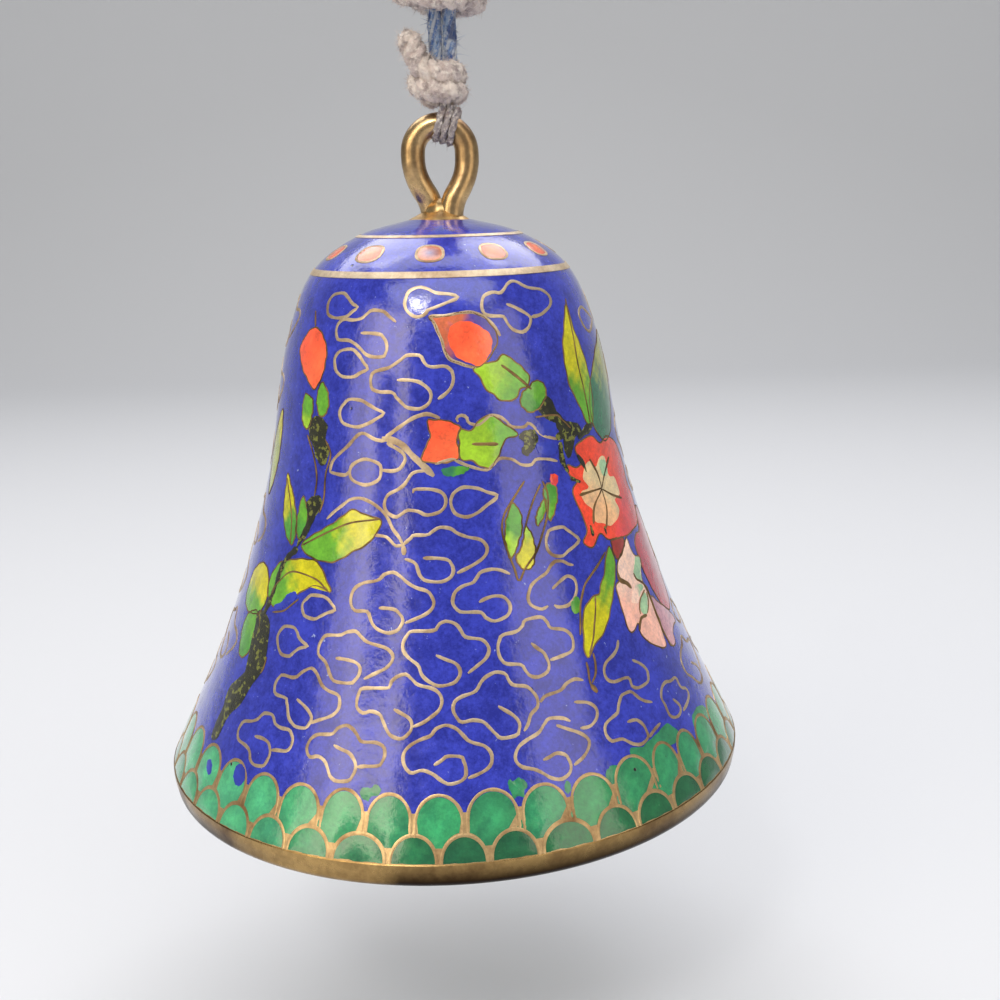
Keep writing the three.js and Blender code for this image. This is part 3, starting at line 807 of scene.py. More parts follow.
def makeLayers():
    shellDepth = bellForm["enamel"] + bellForm["bond"]
    shellInside = shellDepth + bellForm["shell"]
    counterDepth = shellInside + bellForm["bond"]
    wallDepth = counterDepth + bellForm["counterEnamel"]
    counterTop = np.interp(nodeBox("counter_enamel")[1][2], wall["height"], wall["along"])
    counterTop = counterTop - layers["counterShort"]
    crownLow, crownHigh = crownAt - bellForm["crownWire"] / 2, crownAt + bellForm["crownWire"] / 2
    capLow, capHigh = capAt - bellForm["capWire"] / 2, capAt + bellForm["capWire"] / 2
    skin, crownProud, capProud = bellForm["enamel"], layers["crownProud"], layers["capProud"]
    rows = [
        ("copper_shell", 0, wallTop, shellDepth, shellInside, "copper", "copper", "bell_shell"),
        ("ground_skin", layers["groundFrom"], crownLow, 0, skin, "blueEnamel", "blue_enamel",
         "ground_enamel"),
        ("crown_skin", crownHigh, capLow, 0, skin, "blueEnamel", "blue_enamel", "crown_enamel"),
        ("cap_skin", capHigh, wallTop, 0, skin, "blueEnamel", "blue_enamel", "cap_enamel"),
        ("crown_band", crownLow, crownHigh, -crownProud, skin, "bandWire", "gilt_wire", "crown_wire"),
        ("cap_band", capLow, capHigh, -capProud, skin, "bandWire", "gilt_wire", "cap_wire"),
        ("inner_skin", 0, counterTop, counterDepth, wallDepth, "counterEnamel", "counter_enamel",
         "counter_enamel"),
    ]
    for name, low, high, outer, inner, finish, slot, node in rows:
        step = layers["bandStep"] if name.endswith("band") else layers["skinStep"]
        shape = turnedSolid(wallSection(low, high, outer, inner, step))
        addPiece(name, shape, finishes[finish], "bell", (node,))
    return wallDepth


# Rim: a band with rounded lower corners, flat underneath
rim = {
    "outerRound": 0.8, "innerRound": 0.3,
    "bulge": [(0.08, 1.15), (0.15, 1.55)],      # out from the mouth's radius, height
    "lip": [0.064, 0.16, 0.16],                 # its top laps over the lowest enamel by this much,
    "lipProud": [0.05, 0.03, -0.1],             # and stands this much out of it
    "tuck": 0.1,
}


def makeRim(wallDepth):
    top = onWall(math.pi / 2, np.array(rim["lip"]), np.array(rim["lipProud"]))[:, [0, 2]]
    low = onWall(math.pi / 2, np.array([0.0, 0.0]), np.array([-rim["tuck"], -wallDepth]))[:, [0, 2]]
    outside, inside = bellForm["mouthRadius"], bellForm["mouthRadius"] - wallDepth
    outerRound, innerRound = rim["outerRound"], rim["innerRound"]
    quarter = np.radians(np.linspace(0, 90, 9))[:, None]
    sine, cosine = np.sin(quarter), np.cos(quarter)
    outerCorner = (outside - outerRound, outerRound) + outerRound * np.hstack([sine, -cosine])
    innerCorner = (inside + innerRound, innerRound) - innerRound * np.hstack([cosine, sine])
    bulge = np.array(rim["bulge"]) + (outside, 0)
    section = np.vstack([innerCorner, outerCorner, bulge, top, low])
    addPiece("rim_ring", turnedSolid(section), finishes["rim"], "bell", ("rim_band",))


makeRim(makeLayers())
print("wall turned")


# Scale border: two rows of arched cells
scales = {
    "count": 39,
    # places on the photograph of the walls between lower cells and of the middles of upper cells
    "lowerWalls": [
        (223, 806), (250, 828), (287, 838), (331, 846), (388, 852), (439, 852), (489, 848), (540, 842),
        (595, 830), (636, 815), (672, 800),
    ],
    "upperMiddles": [
        (236, 775), (265, 780), (304, 790), (344, 800), (390, 806), (437, 806), (492, 803), (545, 796),
        (588, 785), (633, 770), (667, 758),
    ],
    "leg": 0.91, "cell": 0.84,      # half widths of wire and enamel, in half widths of the cell
    "lowerFoot": 0.05, "lowerSpring": 0.35, "lowerRise": 1.85, "lowerMiddle": 1.0, "sill": (0.2, 0.19, 0.2),
    "upperFoot": 2.1, "upperSpring": 3.2, "upperRise": 1.95, "upperMiddle": 2.7,
    "wire": 0.27, "proud": 0.035, "inset": 0.15, "step": 0.26,
    "edge": 0.015, "dome": 0.045, "uneven": 0.14,
    "bed": 3.75, "bedProud": 0.008,     # metal run in between the wires reaches up to here
    "lower": paint(27, 104, 65), "upper": paint(48, 146, 98),
    "pale": paint(84, 188, 138), "litAt": -48, "litOver": 26, "litMost": 0.8,    # painted light: paler towards this angle, where the left side is lit
    # enamel that ran over, by its outline on the photograph
    "spills": [
        [(630, 748), (642, 747), (650, 739), (660, 730), (666, 723), (673, 727), (679, 733), (676, 742),
         (668, 746), (660, 750), (656, 757), (653, 768), (641, 768), (633, 760)],
        [(508, 786), (509, 779), (514, 781), (518, 777), (524, 780), (528, 786), (524, 790), (525, 797),
         (518, 796), (513, 799), (511, 792)],
        [(360, 792), (364, 787), (371, 788), (375, 784), (381, 788), (379, 795), (372, 796), (368, 801),
         (362, 798)],
        [(564, 788), (566, 780), (570, 782), (571, 791), (567, 794)],
        [(606, 772), (612, 765), (620, 767), (622, 776), (615, 784), (607, 782)],
        [(692, 718), (698, 706), (706, 708), (709, 720), (702, 730), (695, 729)],
    ],
    "spillGreen": paint(46, 140, 96), "spillEdge": 0.004, "spillDome": 0.014,
    "blueInside": [
        [(234, 779), (235, 770), (239, 764), (244, 766), (246, 774), (244, 782), (239, 786), (235, 784)],
        [(206, 770), (208, 761), (211, 759), (213, 766), (211, 775), (208, 777)],
    ],
    "blue": paint(44, 62, 186), "blueEdge": 0.05,
}


def borderSteps(pixels):
    # angles of these places on the photograph, then even steps round the far side
    seen = chartAt(pixels)[:, 0]
    far = np.linspace(seen[-1], seen[0] + 2 * math.pi, scales["count"] - len(seen) + 2)
    return np.concatenate([seen, far[1:-1]])


def makeScales():
    # arches are half ellipses on straight legs; an upper cell's sides follow the two lower arches beside it
    # down to a point between them
    low, lowRise = scales["lowerSpring"], scales["lowerRise"]
    high, highRise = scales["upperSpring"], scales["upperRise"]
    leg, cell, inset, foot = (scales[k] for k in ("leg", "cell", "inset", "upperFoot"))
    half = np.radians(np.linspace(0, 180, 25))
    bow = np.stack([np.cos(half), np.sin(half)], axis=1)
    ground = scales["lowerFoot"]
    lowerArch = np.vstack([[leg, ground], bow * (leg, lowRise) + (0, low), [-leg, ground]])
    upperArch = np.vstack([[leg, foot], bow * (leg, highRise) + (0, high), [-leg, foot]])
    sill = np.column_stack([(-cell, 0, cell), scales["sill"]])
    lowerCell = np.vstack([bow * (cell, lowRise - inset) + (0, low), sill])
    side = np.radians(np.linspace(80, 28, 12))
    flank = np.stack([(2 * leg - cell) * np.cos(side), low + (lowRise + inset) * np.sin(side)], axis=1)
    walls = borderSteps(scales["lowerWalls"])
    lowerWide = np.diff(np.append(walls, walls[0] + 2 * math.pi)) / 2
    lowerAt = walls + lowerWide
    middles = np.append(chartAt(scales["upperMiddles"])[:, 0], walls[len(scales["upperMiddles"]):])
    after = np.append(middles[1:], middles[0] + 2 * math.pi)
    ends = (middles + after) / 2
    starts = np.append(ends[-1] - 2 * math.pi, ends[:-1])
    upperAt, upperWide = (starts + ends) / 2, (ends - starts) / 2
    rows = [(lowerAt, lowerWide, lowerArch, scales["lowerMiddle"], scales["lower"]),
            (upperAt, upperWide, upperArch, scales["upperMiddle"], scales["upper"])]
    wires = [turnedSolid(wallSection(0.02, scales["bed"], -scales["bedProud"], 0.1))]
    cells = ([], [])
    millimetres = (2.0, 1)      # a cell is about 2 mm to each side
    for row, (places, widths, path, middle, green) in enumerate(rows):
        even = evenPath(smoothPath(path, 3) * millimetres, scales["step"]) / millimetres
        for centre, wide in zip(places, widths):
            tall = (1, dice.uniform(0.97, 1.03))
            colour = green * dice.uniform(0.86, 1.18) * dice.uniform(0.93, 1.07, 3)
            # painted light: cells near the left turn towards the pale green, in place of the light falling on
            # that side
            turned = math.degrees(math.remainder(centre, 2 * math.pi)) - scales["litAt"]
            paler = scales["litMost"] * math.exp(-(turned / scales["litOver"]) ** 2)
            colour = (1 - paler) * colour + paler * scales["pale"]
            wires.append(wireStroke(even * tall * (wide, 1) + (centre, 0), scales["wire"], scales["proud"]))
            if row == 0:
                border = lowerCell * tall * (wide, 1) + (centre, 0)
            else:
                apart = np.remainder(lowerAt - centre + math.pi, 2 * math.pi) - math.pi
                left = np.argmax(np.where(apart < 0, apart, -9))
                right = np.argmin(np.where(apart >= 0, apart, 9))
                border = np.vstack([
                    bow * (cell * wide, (highRise - inset) * tall[1]) + (0, high * tall[1]),
                    flank * (lowerWide[left], 1) + (apart[left], 0),
                    flank[::-1] * (-lowerWide[right], 1) + (apart[right], 0),
                ]) + (centre, 0)
            cells[row].append(enamelCell(
                border, np.array([centre, middle]), colour * 1.1, colour * 0.82, scales["edge"],
                scales["dome"], uneven=scales["uneven"],
            ))
    marks = [(pixels, scales["spillGreen"], scales["spillEdge"]) for pixels in scales["spills"]]
    marks += [(pixels, scales["blue"], scales["blueEdge"]) for pixels in scales["blueInside"]]
    for pixels, colour, edge in marks:
        outline = raggedOutline(chartAt(pixels), 0.2, 0.05)
        cells[1].append(enamelCell(
            outline, outline.mean(axis=0), colour, colour * 0.8, edge, scales["spillDome"], rings=5,
            uneven=0.2,
        ))
    addPiece("scale_wires", joined(wires), finishes["scaleWire"], "bell")
    addPiece("lower_scales", joined(cells[0]), finishes["scaleEnamel"], "bell",
             ("scale_enamel_lower",))
    addPiece("upper_scales", joined(cells[1]), finishes["scaleEnamel"], "bell",
             ("scale_enamel_upper",))


makeScales()
print("scales set:", 2 * scales["count"])


# Crown ovals
ovals = {
    "count": 11, "height": 45.2, "across": 0.98, "up": 0.9, "first": -2.2, "corners": 36, "square": 0.8,
    "edge": 0.02, "dome": 0.03, "uneven": 0.15, "wire": 0.24, "wireProud": 0.04, "wireOut": 1.12,
    "inner": paint(248, 122, 66), "outer": paint(222, 92, 52),
    "odd": paint(150, 150, 186), "oddEdge": paint(206, 128, 84),
}


def makeOvals():
    # rounded squares: cosine and sine drawn towards the corners by a power under one
    along = np.interp(ovals["height"], wall["height"], wall["along"])
    turn = np.linspace(0, 2 * math.pi, ovals["corners"], endpoint=False)
    corner = np.stack([np.cos(turn), np.sin(turn)], axis=1)
    drawing = np.sign(corner) * np.abs(corner) ** ovals["square"]
    wires, cells = [], []
    for k in range(ovals["count"]):
        angle = math.radians(ovals["first"] + 360 * k / ovals["count"])
        box = sizedBox(angle, along, 2 * ovals["across"], 2 * ovals["up"])
        inner, outer = (ovals["odd"], ovals["oddEdge"]) if k == 0 else (ovals["inner"], ovals["outer"])
        bent = drawing * dice.uniform(0.92, 1.06, 2)
        cells.append(enamelCell(
            drawnIn(box, bent), box[0], inner, outer, ovals["edge"], ovals["dome"], rings=5,
            uneven=ovals["uneven"],
        ))
        around = drawnIn(box, bent * ovals["wireOut"])
        wires.append(wireStroke(around, ovals["wire"], ovals["wireProud"], closed=True))
    addPiece("oval_cells", joined(cells), finishes["cellEnamel"], "bell")
    addPiece("oval_wires", joined(wires), finishes["wire"], "bell")


makeOvals()
print("crown ovals set:", ovals["count"])


# Flower sprays: cells by their outlines on the photograph, each from its root round to its root again
enamels = {
    "orange": paint(255, 106, 64), "deepOrange": paint(250, 92, 54), "leaf": paint(98, 168, 44),
    "grass": paint(74, 150, 52), "lime": paint(150, 196, 44), "yellow": paint(200, 196, 12),
    "paleLeaf": paint(172, 186, 104), "teal": paint(44, 116, 84), "red": paint(240, 74, 46),
    "rose": paint(216, 60, 66), "crimson": paint(182, 54, 76), "cream": paint(228, 204, 158),
    "peach": paint(236, 186, 140), "pink": paint(240, 184, 170), "palePink": paint(248, 212, 196),
    "mint": paint(160, 200, 160), "blue": paint(40, 56, 176), "stem": paint(34, 36, 18),
    "amber": paint(200, 104, 70), "plum": paint(72, 60, 152), "olive": paint(164, 170, 66),
    "garnet": paint(150, 46, 40), "mauve": paint(206, 152, 168),
}
# colour at the root, colour at the tip, share of the way at which they meet, outline
leftSpray = [
    ("orange", "deepOrange", 0.5, [
        (315, 389), (306, 376), (301, 360), (301, 346), (306, 336), (315, 327), (324, 337), (327, 353),
        (324, 371),
    ]),
    ("leaf", "lime", 0.6, [
        (306, 394), (313, 400), (312, 417), (308, 429), (303, 423), (303, 407),
    ]),
    ("leaf", "leaf", 0.5, [
        (322, 382), (328, 392), (328, 410), (321, 417), (317, 403), (319, 389),
    ]),
    ("grass", "yellow", 0.45, [
        (292, 545), (285, 528), (284, 506), (286, 488), (288, 473), (292, 488), (296, 510), (296, 531),
    ]),
    ("grass", "leaf", 0.5, [
        (299, 540), (297, 527), (299, 510), (303, 496), (307, 506), (308, 520), (304, 533),
    ]),
    ("leaf", "yellow", 0.56, [
        (301, 546), (318, 532), (334, 523), (352, 510), (364, 514), (381, 521), (371, 541), (356, 550),
        (341, 559), (326, 562), (312, 557),
    ]),
    ("leaf", "yellow", 0.45, [
        (273, 606), (268, 592), (271, 576), (280, 563), (301, 559), (316, 561), (325, 575), (331, 592),
        (319, 586), (306, 589), (294, 597), (284, 606),
    ]),
    ("leaf", "yellow", 0.4, [
        (250, 612), (246, 601), (250, 582), (257, 566), (266, 564), (269, 581), (267, 599), (260, 612),
    ]),
    ("grass", "leaf", 0.5, [
        (240, 656), (242, 632), (247, 616), (256, 610), (260, 620), (256, 638), (247, 654),
    ]),
]
rightSpray = [
    ("amber", "plum", 0.45, [
        (429, 317), (439, 317), (449, 315), (459, 313), (469, 312), (475, 313), (484, 318), (492, 326),
        (497, 334), (494, 350), (484, 363), (475, 367), (467, 366), (459, 363), (451, 360), (445, 352),
        (442, 341), (438, 332), (434, 324),
    ]),
    ("lime", "leaf", 0.55, [
        (473, 369), (484, 363), (496, 361), (504, 354), (515, 362), (524, 369), (529, 377), (527, 386),
        (519, 390), (516, 398), (503, 401), (493, 394), (485, 389), (482, 380),
    ]),
    ("grass", "leaf", 0.5, [
        (529, 412), (521, 405), (521, 395), (528, 387), (537, 380), (545, 387), (545, 398), (537, 410),
    ]),
    ("leaf", "yellow", 0.42, [
        (591, 428), (580, 408), (570, 386), (564, 361), (563, 334), (566, 304), (573, 328), (581, 348),
        (588, 372), (592, 397),
    ]),
    ("orange", "deepOrange", 0.5, [
        (459, 458), (452, 461), (435, 463), (421, 459), (425, 449), (430, 437), (428, 420), (440, 420),
        (452, 422), (460, 427), (457, 438),
    ]),
    ("lime", "leaf", 0.6, [
        (459, 446), (460, 429), (469, 431), (476, 424), (484, 417), (493, 415), (501, 422), (510, 427),
        (518, 434), (506, 439), (501, 449), (498, 456), (491, 468), (481, 466), (472, 461), (461, 459),
    ]),
    ("grass", "lime", 0.6, [
        (513, 503), (520, 512), (522, 528), (517, 546), (511, 559), (506, 546), (505, 528), (508, 512),
    ]),
    ("lime", "yellow", 0.25, [
        (526, 526), (533, 538), (535, 556), (530, 569), (522, 568), (516, 559), (522, 545),
    ]),
    ("leaf", "leaf", 0.5, [
        (545, 498), (545, 512), (537, 526), (536, 515),
    ]),
    ("grass", "leaf", 0.5, [
        (544, 487), (553, 483), (557, 493), (555, 509), (550, 521), (546, 509),
    ]),
    ("leaf", "yellow", 0.46, [
        (609, 546), (613, 555), (615, 570), (614, 585), (612, 598), (609, 617), (605, 628), (600, 638),
        (593, 648), (588, 658), (584, 648), (583, 630), (583, 616), (586, 605), (592, 597), (599, 594),
        (600, 586), (603, 576), (605, 565), (606, 555),
    ]),
    ("red", "rose", 0.6, [
        (576, 467), (581, 462), (575, 448), (583, 439), (592, 436), (600, 443), (606, 436), (614, 441),
        (619, 452), (623, 466), (626, 480), (631, 494), (635, 508), (637, 520), (632, 531), (622, 537),
        (607, 539), (600, 534), (592, 547), (583, 542), (587, 531), (583, 518), (576, 503), (573, 490),
        (577, 481), (569, 475), (567, 465),
    ]),
    ("garnet", "garnet", 0.5, [
        (611, 540), (617, 538), (623, 538), (624, 545), (621, 552), (617, 559), (613, 552),
    ]),
    ("palePink", "pink", 0.6, [
        (626, 537), (624, 546), (622, 553), (619, 558), (617, 565), (617, 573), (620, 580), (616, 586),
        (617, 593), (620, 603), (624, 617), (627, 626), (631, 632), (635, 630), (638, 623), (640, 632),
        (643, 637), (648, 641), (653, 644), (658, 647), (663, 648), (666, 645), (664, 638), (660, 626),
        (655, 612), (650, 600), (647, 592), (643, 584), (641, 572), (641, 563), (639, 557), (634, 555),
        (630, 548), (628, 541),
    ]),
    ("mauve", "mauve", 0.5, [
        (650, 596), (653, 606), (658, 616), (662, 627), (667, 638), (671, 645), (675, 643), (673, 633),
        (673, 626), (675, 620), (670, 612), (665, 607), (658, 602),
    ]),
]
# cells seen edge on, by angle in degrees and length along the wall
sideCells = [
    ("paleLeaf", "yellow", 0.7, [
        (-70, 25.4), (-73.5, 27.3), (-74, 29.3), (-71, 31.2), (-66, 32.8), (-64.5, 30.8), (-65, 28.6),
        (-67, 26.8),
    ]),
    ("teal", "olive", 0.52, [
        (63, 29.5), (57.5, 31.2), (57.5, 33.2), (61.5, 35), (69, 36.7), (78, 37.8), (86, 38.2), (83.5, 36.2),
        (80.5, 33.8), (76, 31.6), (70, 30),
    ]),
    ("crimson", "crimson", 0.5, [
        (66.3, 20.4), (69, 20.9), (74, 21.1), (77.5, 22.6), (81.5, 22.6), (84.5, 20.2), (84, 17.2),
        (81, 14.6), (76, 13.4), (71.5, 14.2), (68, 16), (66.2, 18.2),
    ]),
]
# cells laid inside others
insets = [
    ("orange", "deepOrange", 0.5, [
        (481, 365), (466, 362), (455, 355), (449, 343), (449, 329), (462, 321), (473, 323), (484, 329),
        (492, 339), (490, 352),
    ]),
    ("cream", "peach", 0.6, [
        (604, 457), (608, 475), (614, 478), (619, 493), (614, 500), (619, 510), (611, 525), (603, 524),
        (594, 520), (592, 509), (584, 503), (581, 493), (588, 487), (582, 478), (584, 469), (589, 461),
        (595, 467), (598, 459),
    ]),
    ("mint", "mint", 0.5, [
        (598, 461), (604, 459), (607, 474), (603, 484), (599, 474),
    ]),
    ("mint", "mint", 0.5, [
        (635, 557), (639, 558), (640, 564), (640, 573), (641, 581), (636, 579), (633, 573), (634, 565),
    ]),
    ("palePink", "mint", 0.6, [
        (631, 602), (637, 603), (640, 593), (643, 586), (638, 584), (633, 589),
    ]),
    ("mint", "mint", 0.5, [
        (643, 592), (640, 600), (640, 609), (644, 615), (647, 612), (647, 602), (646, 595),
    ]),
    ("blue", "blue", 0.5, [
        (275, 609), (275, 605), (281, 603), (285, 598), (290, 593), (296, 592), (298, 595), (295, 600),
        (289, 604), (283, 608),
    ]),
    ("red", "rose", 0.5, [
        (550, 474), (557, 475), (556, 485), (551, 484),
    ]),
    ("blue", "blue", 0.5, [
        (536, 424), (545, 420), (556, 425), (553, 434), (540, 434),
    ]),
    ("blue", "blue", 0.5, [
        (536, 444), (549, 442), (558, 447), (552, 455), (539, 453),
    ]),
    ("teal", "grass", 0.5, [
        (441, 470), (456, 466), (470, 468), (462, 474), (446, 476),
    ]),
    ("grass", "leaf", 0.5, [
        (571, 602), (577, 596), (580, 606), (577, 614), (572, 611),
    ]),
]
# dark speckled cells
stalks = [
    [(309, 424), (315, 416), (322, 418), (328, 425), (326, 437), (329, 446), (328, 459), (322, 466),
     (317, 459), (313, 446), (310, 437)],
    [(306, 503), (314, 496), (321, 496), (321, 508), (315, 518), (310, 530), (303, 541), (297, 547),
     (300, 537), (306, 525), (309, 513)],
    [(258, 612), (253, 640), (250, 660), (245, 672), (232, 684), (226, 697), (223, 708), (216, 722),
     (212, 738), (217, 739), (224, 725), (232, 712), (242, 703), (249, 690), (258, 677), (265, 665),
     (268, 645), (270, 625), (266, 612)],
    [(537, 409), (546, 396), (552, 400), (554, 408), (560, 415), (567, 421), (578, 424), (582, 432),
     (575, 437), (573, 450), (568, 458), (564, 449), (564, 440), (556, 428), (546, 418)],
    [(518, 436), (526, 430), (534, 430), (538, 438), (534, 448), (527, 456), (521, 452), (524, 443)],
]
# width, path
stems = [
    (0.6, [(298, 548), (286, 560), (272, 596), (264, 614)]),
    (0.7, [(556, 438), (564, 434), (572, 434)]),
    (0.7, [(592, 424), (584, 432), (578, 438)]),
    (0.5, [(560, 442), (562, 460), (568, 472)]),
    (0.45, [(577, 455), (583, 464), (586, 472)]),
    (0.4, [(570, 478), (580, 482)]),
    (0.42, [(590, 525), (593, 536)]),
    (0.36, [(604, 526), (606, 534)]),
]
# thin wires round and between the cells
veins = [
    (0.16, [(316, 326), (316, 311)]),
    (0.15, [(303, 545), (333, 530), (355, 522), (380, 519)]),
    (0.15, [(271, 596), (280, 581), (298, 572), (312, 577), (328, 590)]),
    (0.15, [(273, 612), (283, 611), (288, 608), (294, 603), (299, 599)]),
    (0.15, [(291, 543), (292, 515), (288, 478)]),
    (0.16, [(308, 435), (314, 456), (317, 478), (315, 496)]),
    (0.16, [(326, 440), (331, 453), (326, 474), (324, 499), (320, 513)]),
    (0.14, [(267, 657), (264, 668), (261, 673)]),
    (0.16, [(566, 306), (572, 332), (577, 362), (584, 392), (590, 424)]),
    (0.16, [(566, 306), (565, 299)]),
    (0.24, [(501, 365), (512, 373), (522, 381), (531, 389)]),
    (0.28, [(472, 444), (484, 444), (498, 444)]),
    (0.16, [(535, 417), (552, 415), (562, 420), (570, 428)]),
    (0.17, [(595, 596), (595, 610), (594, 625), (593, 638), (589, 654)]),
    (0.2, [(605, 552), (598, 564), (590, 576), (585, 584), (582, 595), (580, 605), (580, 620),
           (580, 635)]),
    (0.2, [(586, 662), (588, 671), (589, 679), (591, 686)]),
    (0.2, [(593, 653), (595, 664), (595, 674), (592, 683)]),
    (0.5, [(591, 685), (597, 692)]),
    (0.18, [(524, 481), (514, 497), (504, 515), (502, 531), (507, 550), (514, 568), (519, 581),
            (525, 568), (536, 552), (542, 534), (547, 515), (547, 493), (542, 481)]),
    (0.16, [(540, 484), (533, 500), (528, 516), (525, 528)]),
    (0.26, [(601, 488), (597, 474), (589, 459)]),
    (0.26, [(601, 488), (604, 473), (608, 457)]),
    (0.26, [(601, 489), (612, 495), (621, 498)]),
    (0.26, [(601, 489), (606, 508), (606, 528)]),
    (0.26, [(601, 489), (594, 506), (593, 524)]),
    (0.26, [(601, 488), (589, 492), (579, 495)]),
    (0.42, [(617, 573), (620, 580), (626, 583), (631, 588)]),
    (0.32, [(639, 631), (640, 622), (642, 617), (646, 615)]),
    (0.22, [(633, 573), (636, 579), (641, 582), (646, 587), (650, 597), (654, 608), (658, 618), (662, 629),
            (667, 639), (671, 646)]),
    (0.18, [(644, 590), (640, 598), (639, 607), (640, 614)]),
    (0.16, [(646, 592), (648, 602), (647, 613)]),
]
sprays = {
    "wire": 0.14, "wireProud": 0.035, "veinProud": 0.07, "veinStep": 0.22,
    "edge": 0.02, "insetEdge": 0.045, "dome": 0.02, "uneven": 0.13, "turnOver": 4.5, "turnUneven": 0.1,
    "stalkEdge": 0.024, "stalkUneven": 0.3, "stemProud": 0.05, "stemStep": 0.16, "stemWander": 0.16,
}
backTurn = math.pi      # the sprays are repeated on the far side


def alongAxis(start, end, meet):
    # share of the way from one place on the wall to another, turning from one colour to the other
    # where they meet, along an uneven edge
    reach = np.array([radiusAt((start[1] + end[1]) / 2), 1.0])
    way = (end - start) * reach

    def grade(chart):
        share = ((chart - start) * reach) @ way / (way @ way) + sprays["turnUneven"] * blotches(chart)
        return np.clip((share - meet) * sprays["turnOver"] + 0.5, 0, 1)

    return grade


def onSprays():
    # every cell's two colours, where they meet, and its corners on the wall
    cells = [(*rest, chartAt(pixels)) for *rest, pixels in leftSpray + rightSpray]
    return cells + [(*rest, np.array(places) * (math.pi / 180, 1)) for *rest, places in sideCells]


def makeSprays():
    cells, wires, thinWires, dark = [], [], [], []
    laidIn = [(*rest, chartAt(pixels)) for *rest, pixels in insets]
    for group, edge, wired in ((onSprays(), sprays["edge"], True), (laidIn, sprays["insetEdge"], False)):
        for root, tip, meet, corners in group:
            outline = raggedOutline(corners)
            far = corners[np.argmax((np.abs(corners - corners[0]) * (15, 1)).sum(axis=1))]
            grade = alongAxis(corners[0], far, meet)
            for turn in (0.0, backTurn):
                moved = outline + (turn, 0)
                cells.append(enamelCell(
                    moved, moved.mean(axis=0), enamels[root], enamels[tip], edge, sprays["dome"], rings=9,
                    grade=lambda chart, turn=turn, grade=grade: grade(chart - (turn, 0)),
                    uneven=sprays["uneven"],
                ))
                if wired:
                    wires.append(wireStroke(moved, sprays["wire"], sprays["wireProud"], closed=True))
    for width, pixels in veins:
        path = evenOnWall(smoothPath(chartAt(pixels)), sprays["veinStep"])
        for turn in (0.0, backTurn):
            thinWires.append(wireStroke(path + (turn, 0), width, sprays["veinProud"]))
    for pixels in stalks:
        outline = raggedOutline(chartAt(pixels))
        for turn in (0.0, backTurn):
            moved = outline + (turn, 0)
            dark.append(enamelCell(
                moved, moved.mean(axis=0), enamels["stem"], enamels["stem"], sprays["stalkEdge"],
                sprays["dome"], rings=7, uneven=sprays["stalkUneven"],
            ))
    for width, pixels in stems:
        path = evenOnWall(smoothPath(chartAt(pixels)), sprays["stemStep"])
        for turn in (0.0, backTurn):
            dark.append(wireStroke(
                path + (turn, 0), width, sprays["stemProud"], wander=sprays["stemWander"],
                tint=enamels["stem"],
            ))
    addPiece("leaf_and_petal_cells", joined(cells), finishes["cellEnamel"], "bell")
    addPiece("stem_cells", joined(dark), finishes["stemEnamel"], "bell")
    addPiece("spray_wires", joined(wires), finishes["dullWire"], "bell")
    addPiece("vein_wires", joined(thinWires), finishes["dullWire"], "bell")
    return len(cells)


print("sprays set:", makeSprays(), "cells")


# Cloud scrolls: open lobed wires with a hook inside, and single drops; these two fill the sides
cloudDrawing = [
    (-0.22, -0.1), (0.04, -0.25), (0.26, -0.42), (0.33, -0.64), (0.2, -0.91), (-0.06, -1.0), (-0.34, -0.92),
    (-0.52, -0.7), (-0.7, -0.39), (-0.94, -0.1), (-1.0, 0.23), (-0.93, 0.55), (-0.72, 0.75), (-0.43, 0.79),
    (-0.25, 0.88), (-0.08, 0.99), (0.1, 0.92), (0.24, 0.66), (0.46, 0.47), (0.75, 0.45), (0.95, 0.28),
    (0.99, 0.08), (0.83, -0.28), (0.5, -0.68),
]
dropDrawing = [
    (1.0, -0.3), (0.62, 0.1), (0.2, 0.55), (-0.25, 0.95), (-0.7, 0.85), (-1.0, 0.3), (-0.95, -0.4),
    (-0.6, -0.9), (-0.1, -1.0), (0.45, -0.7),
]
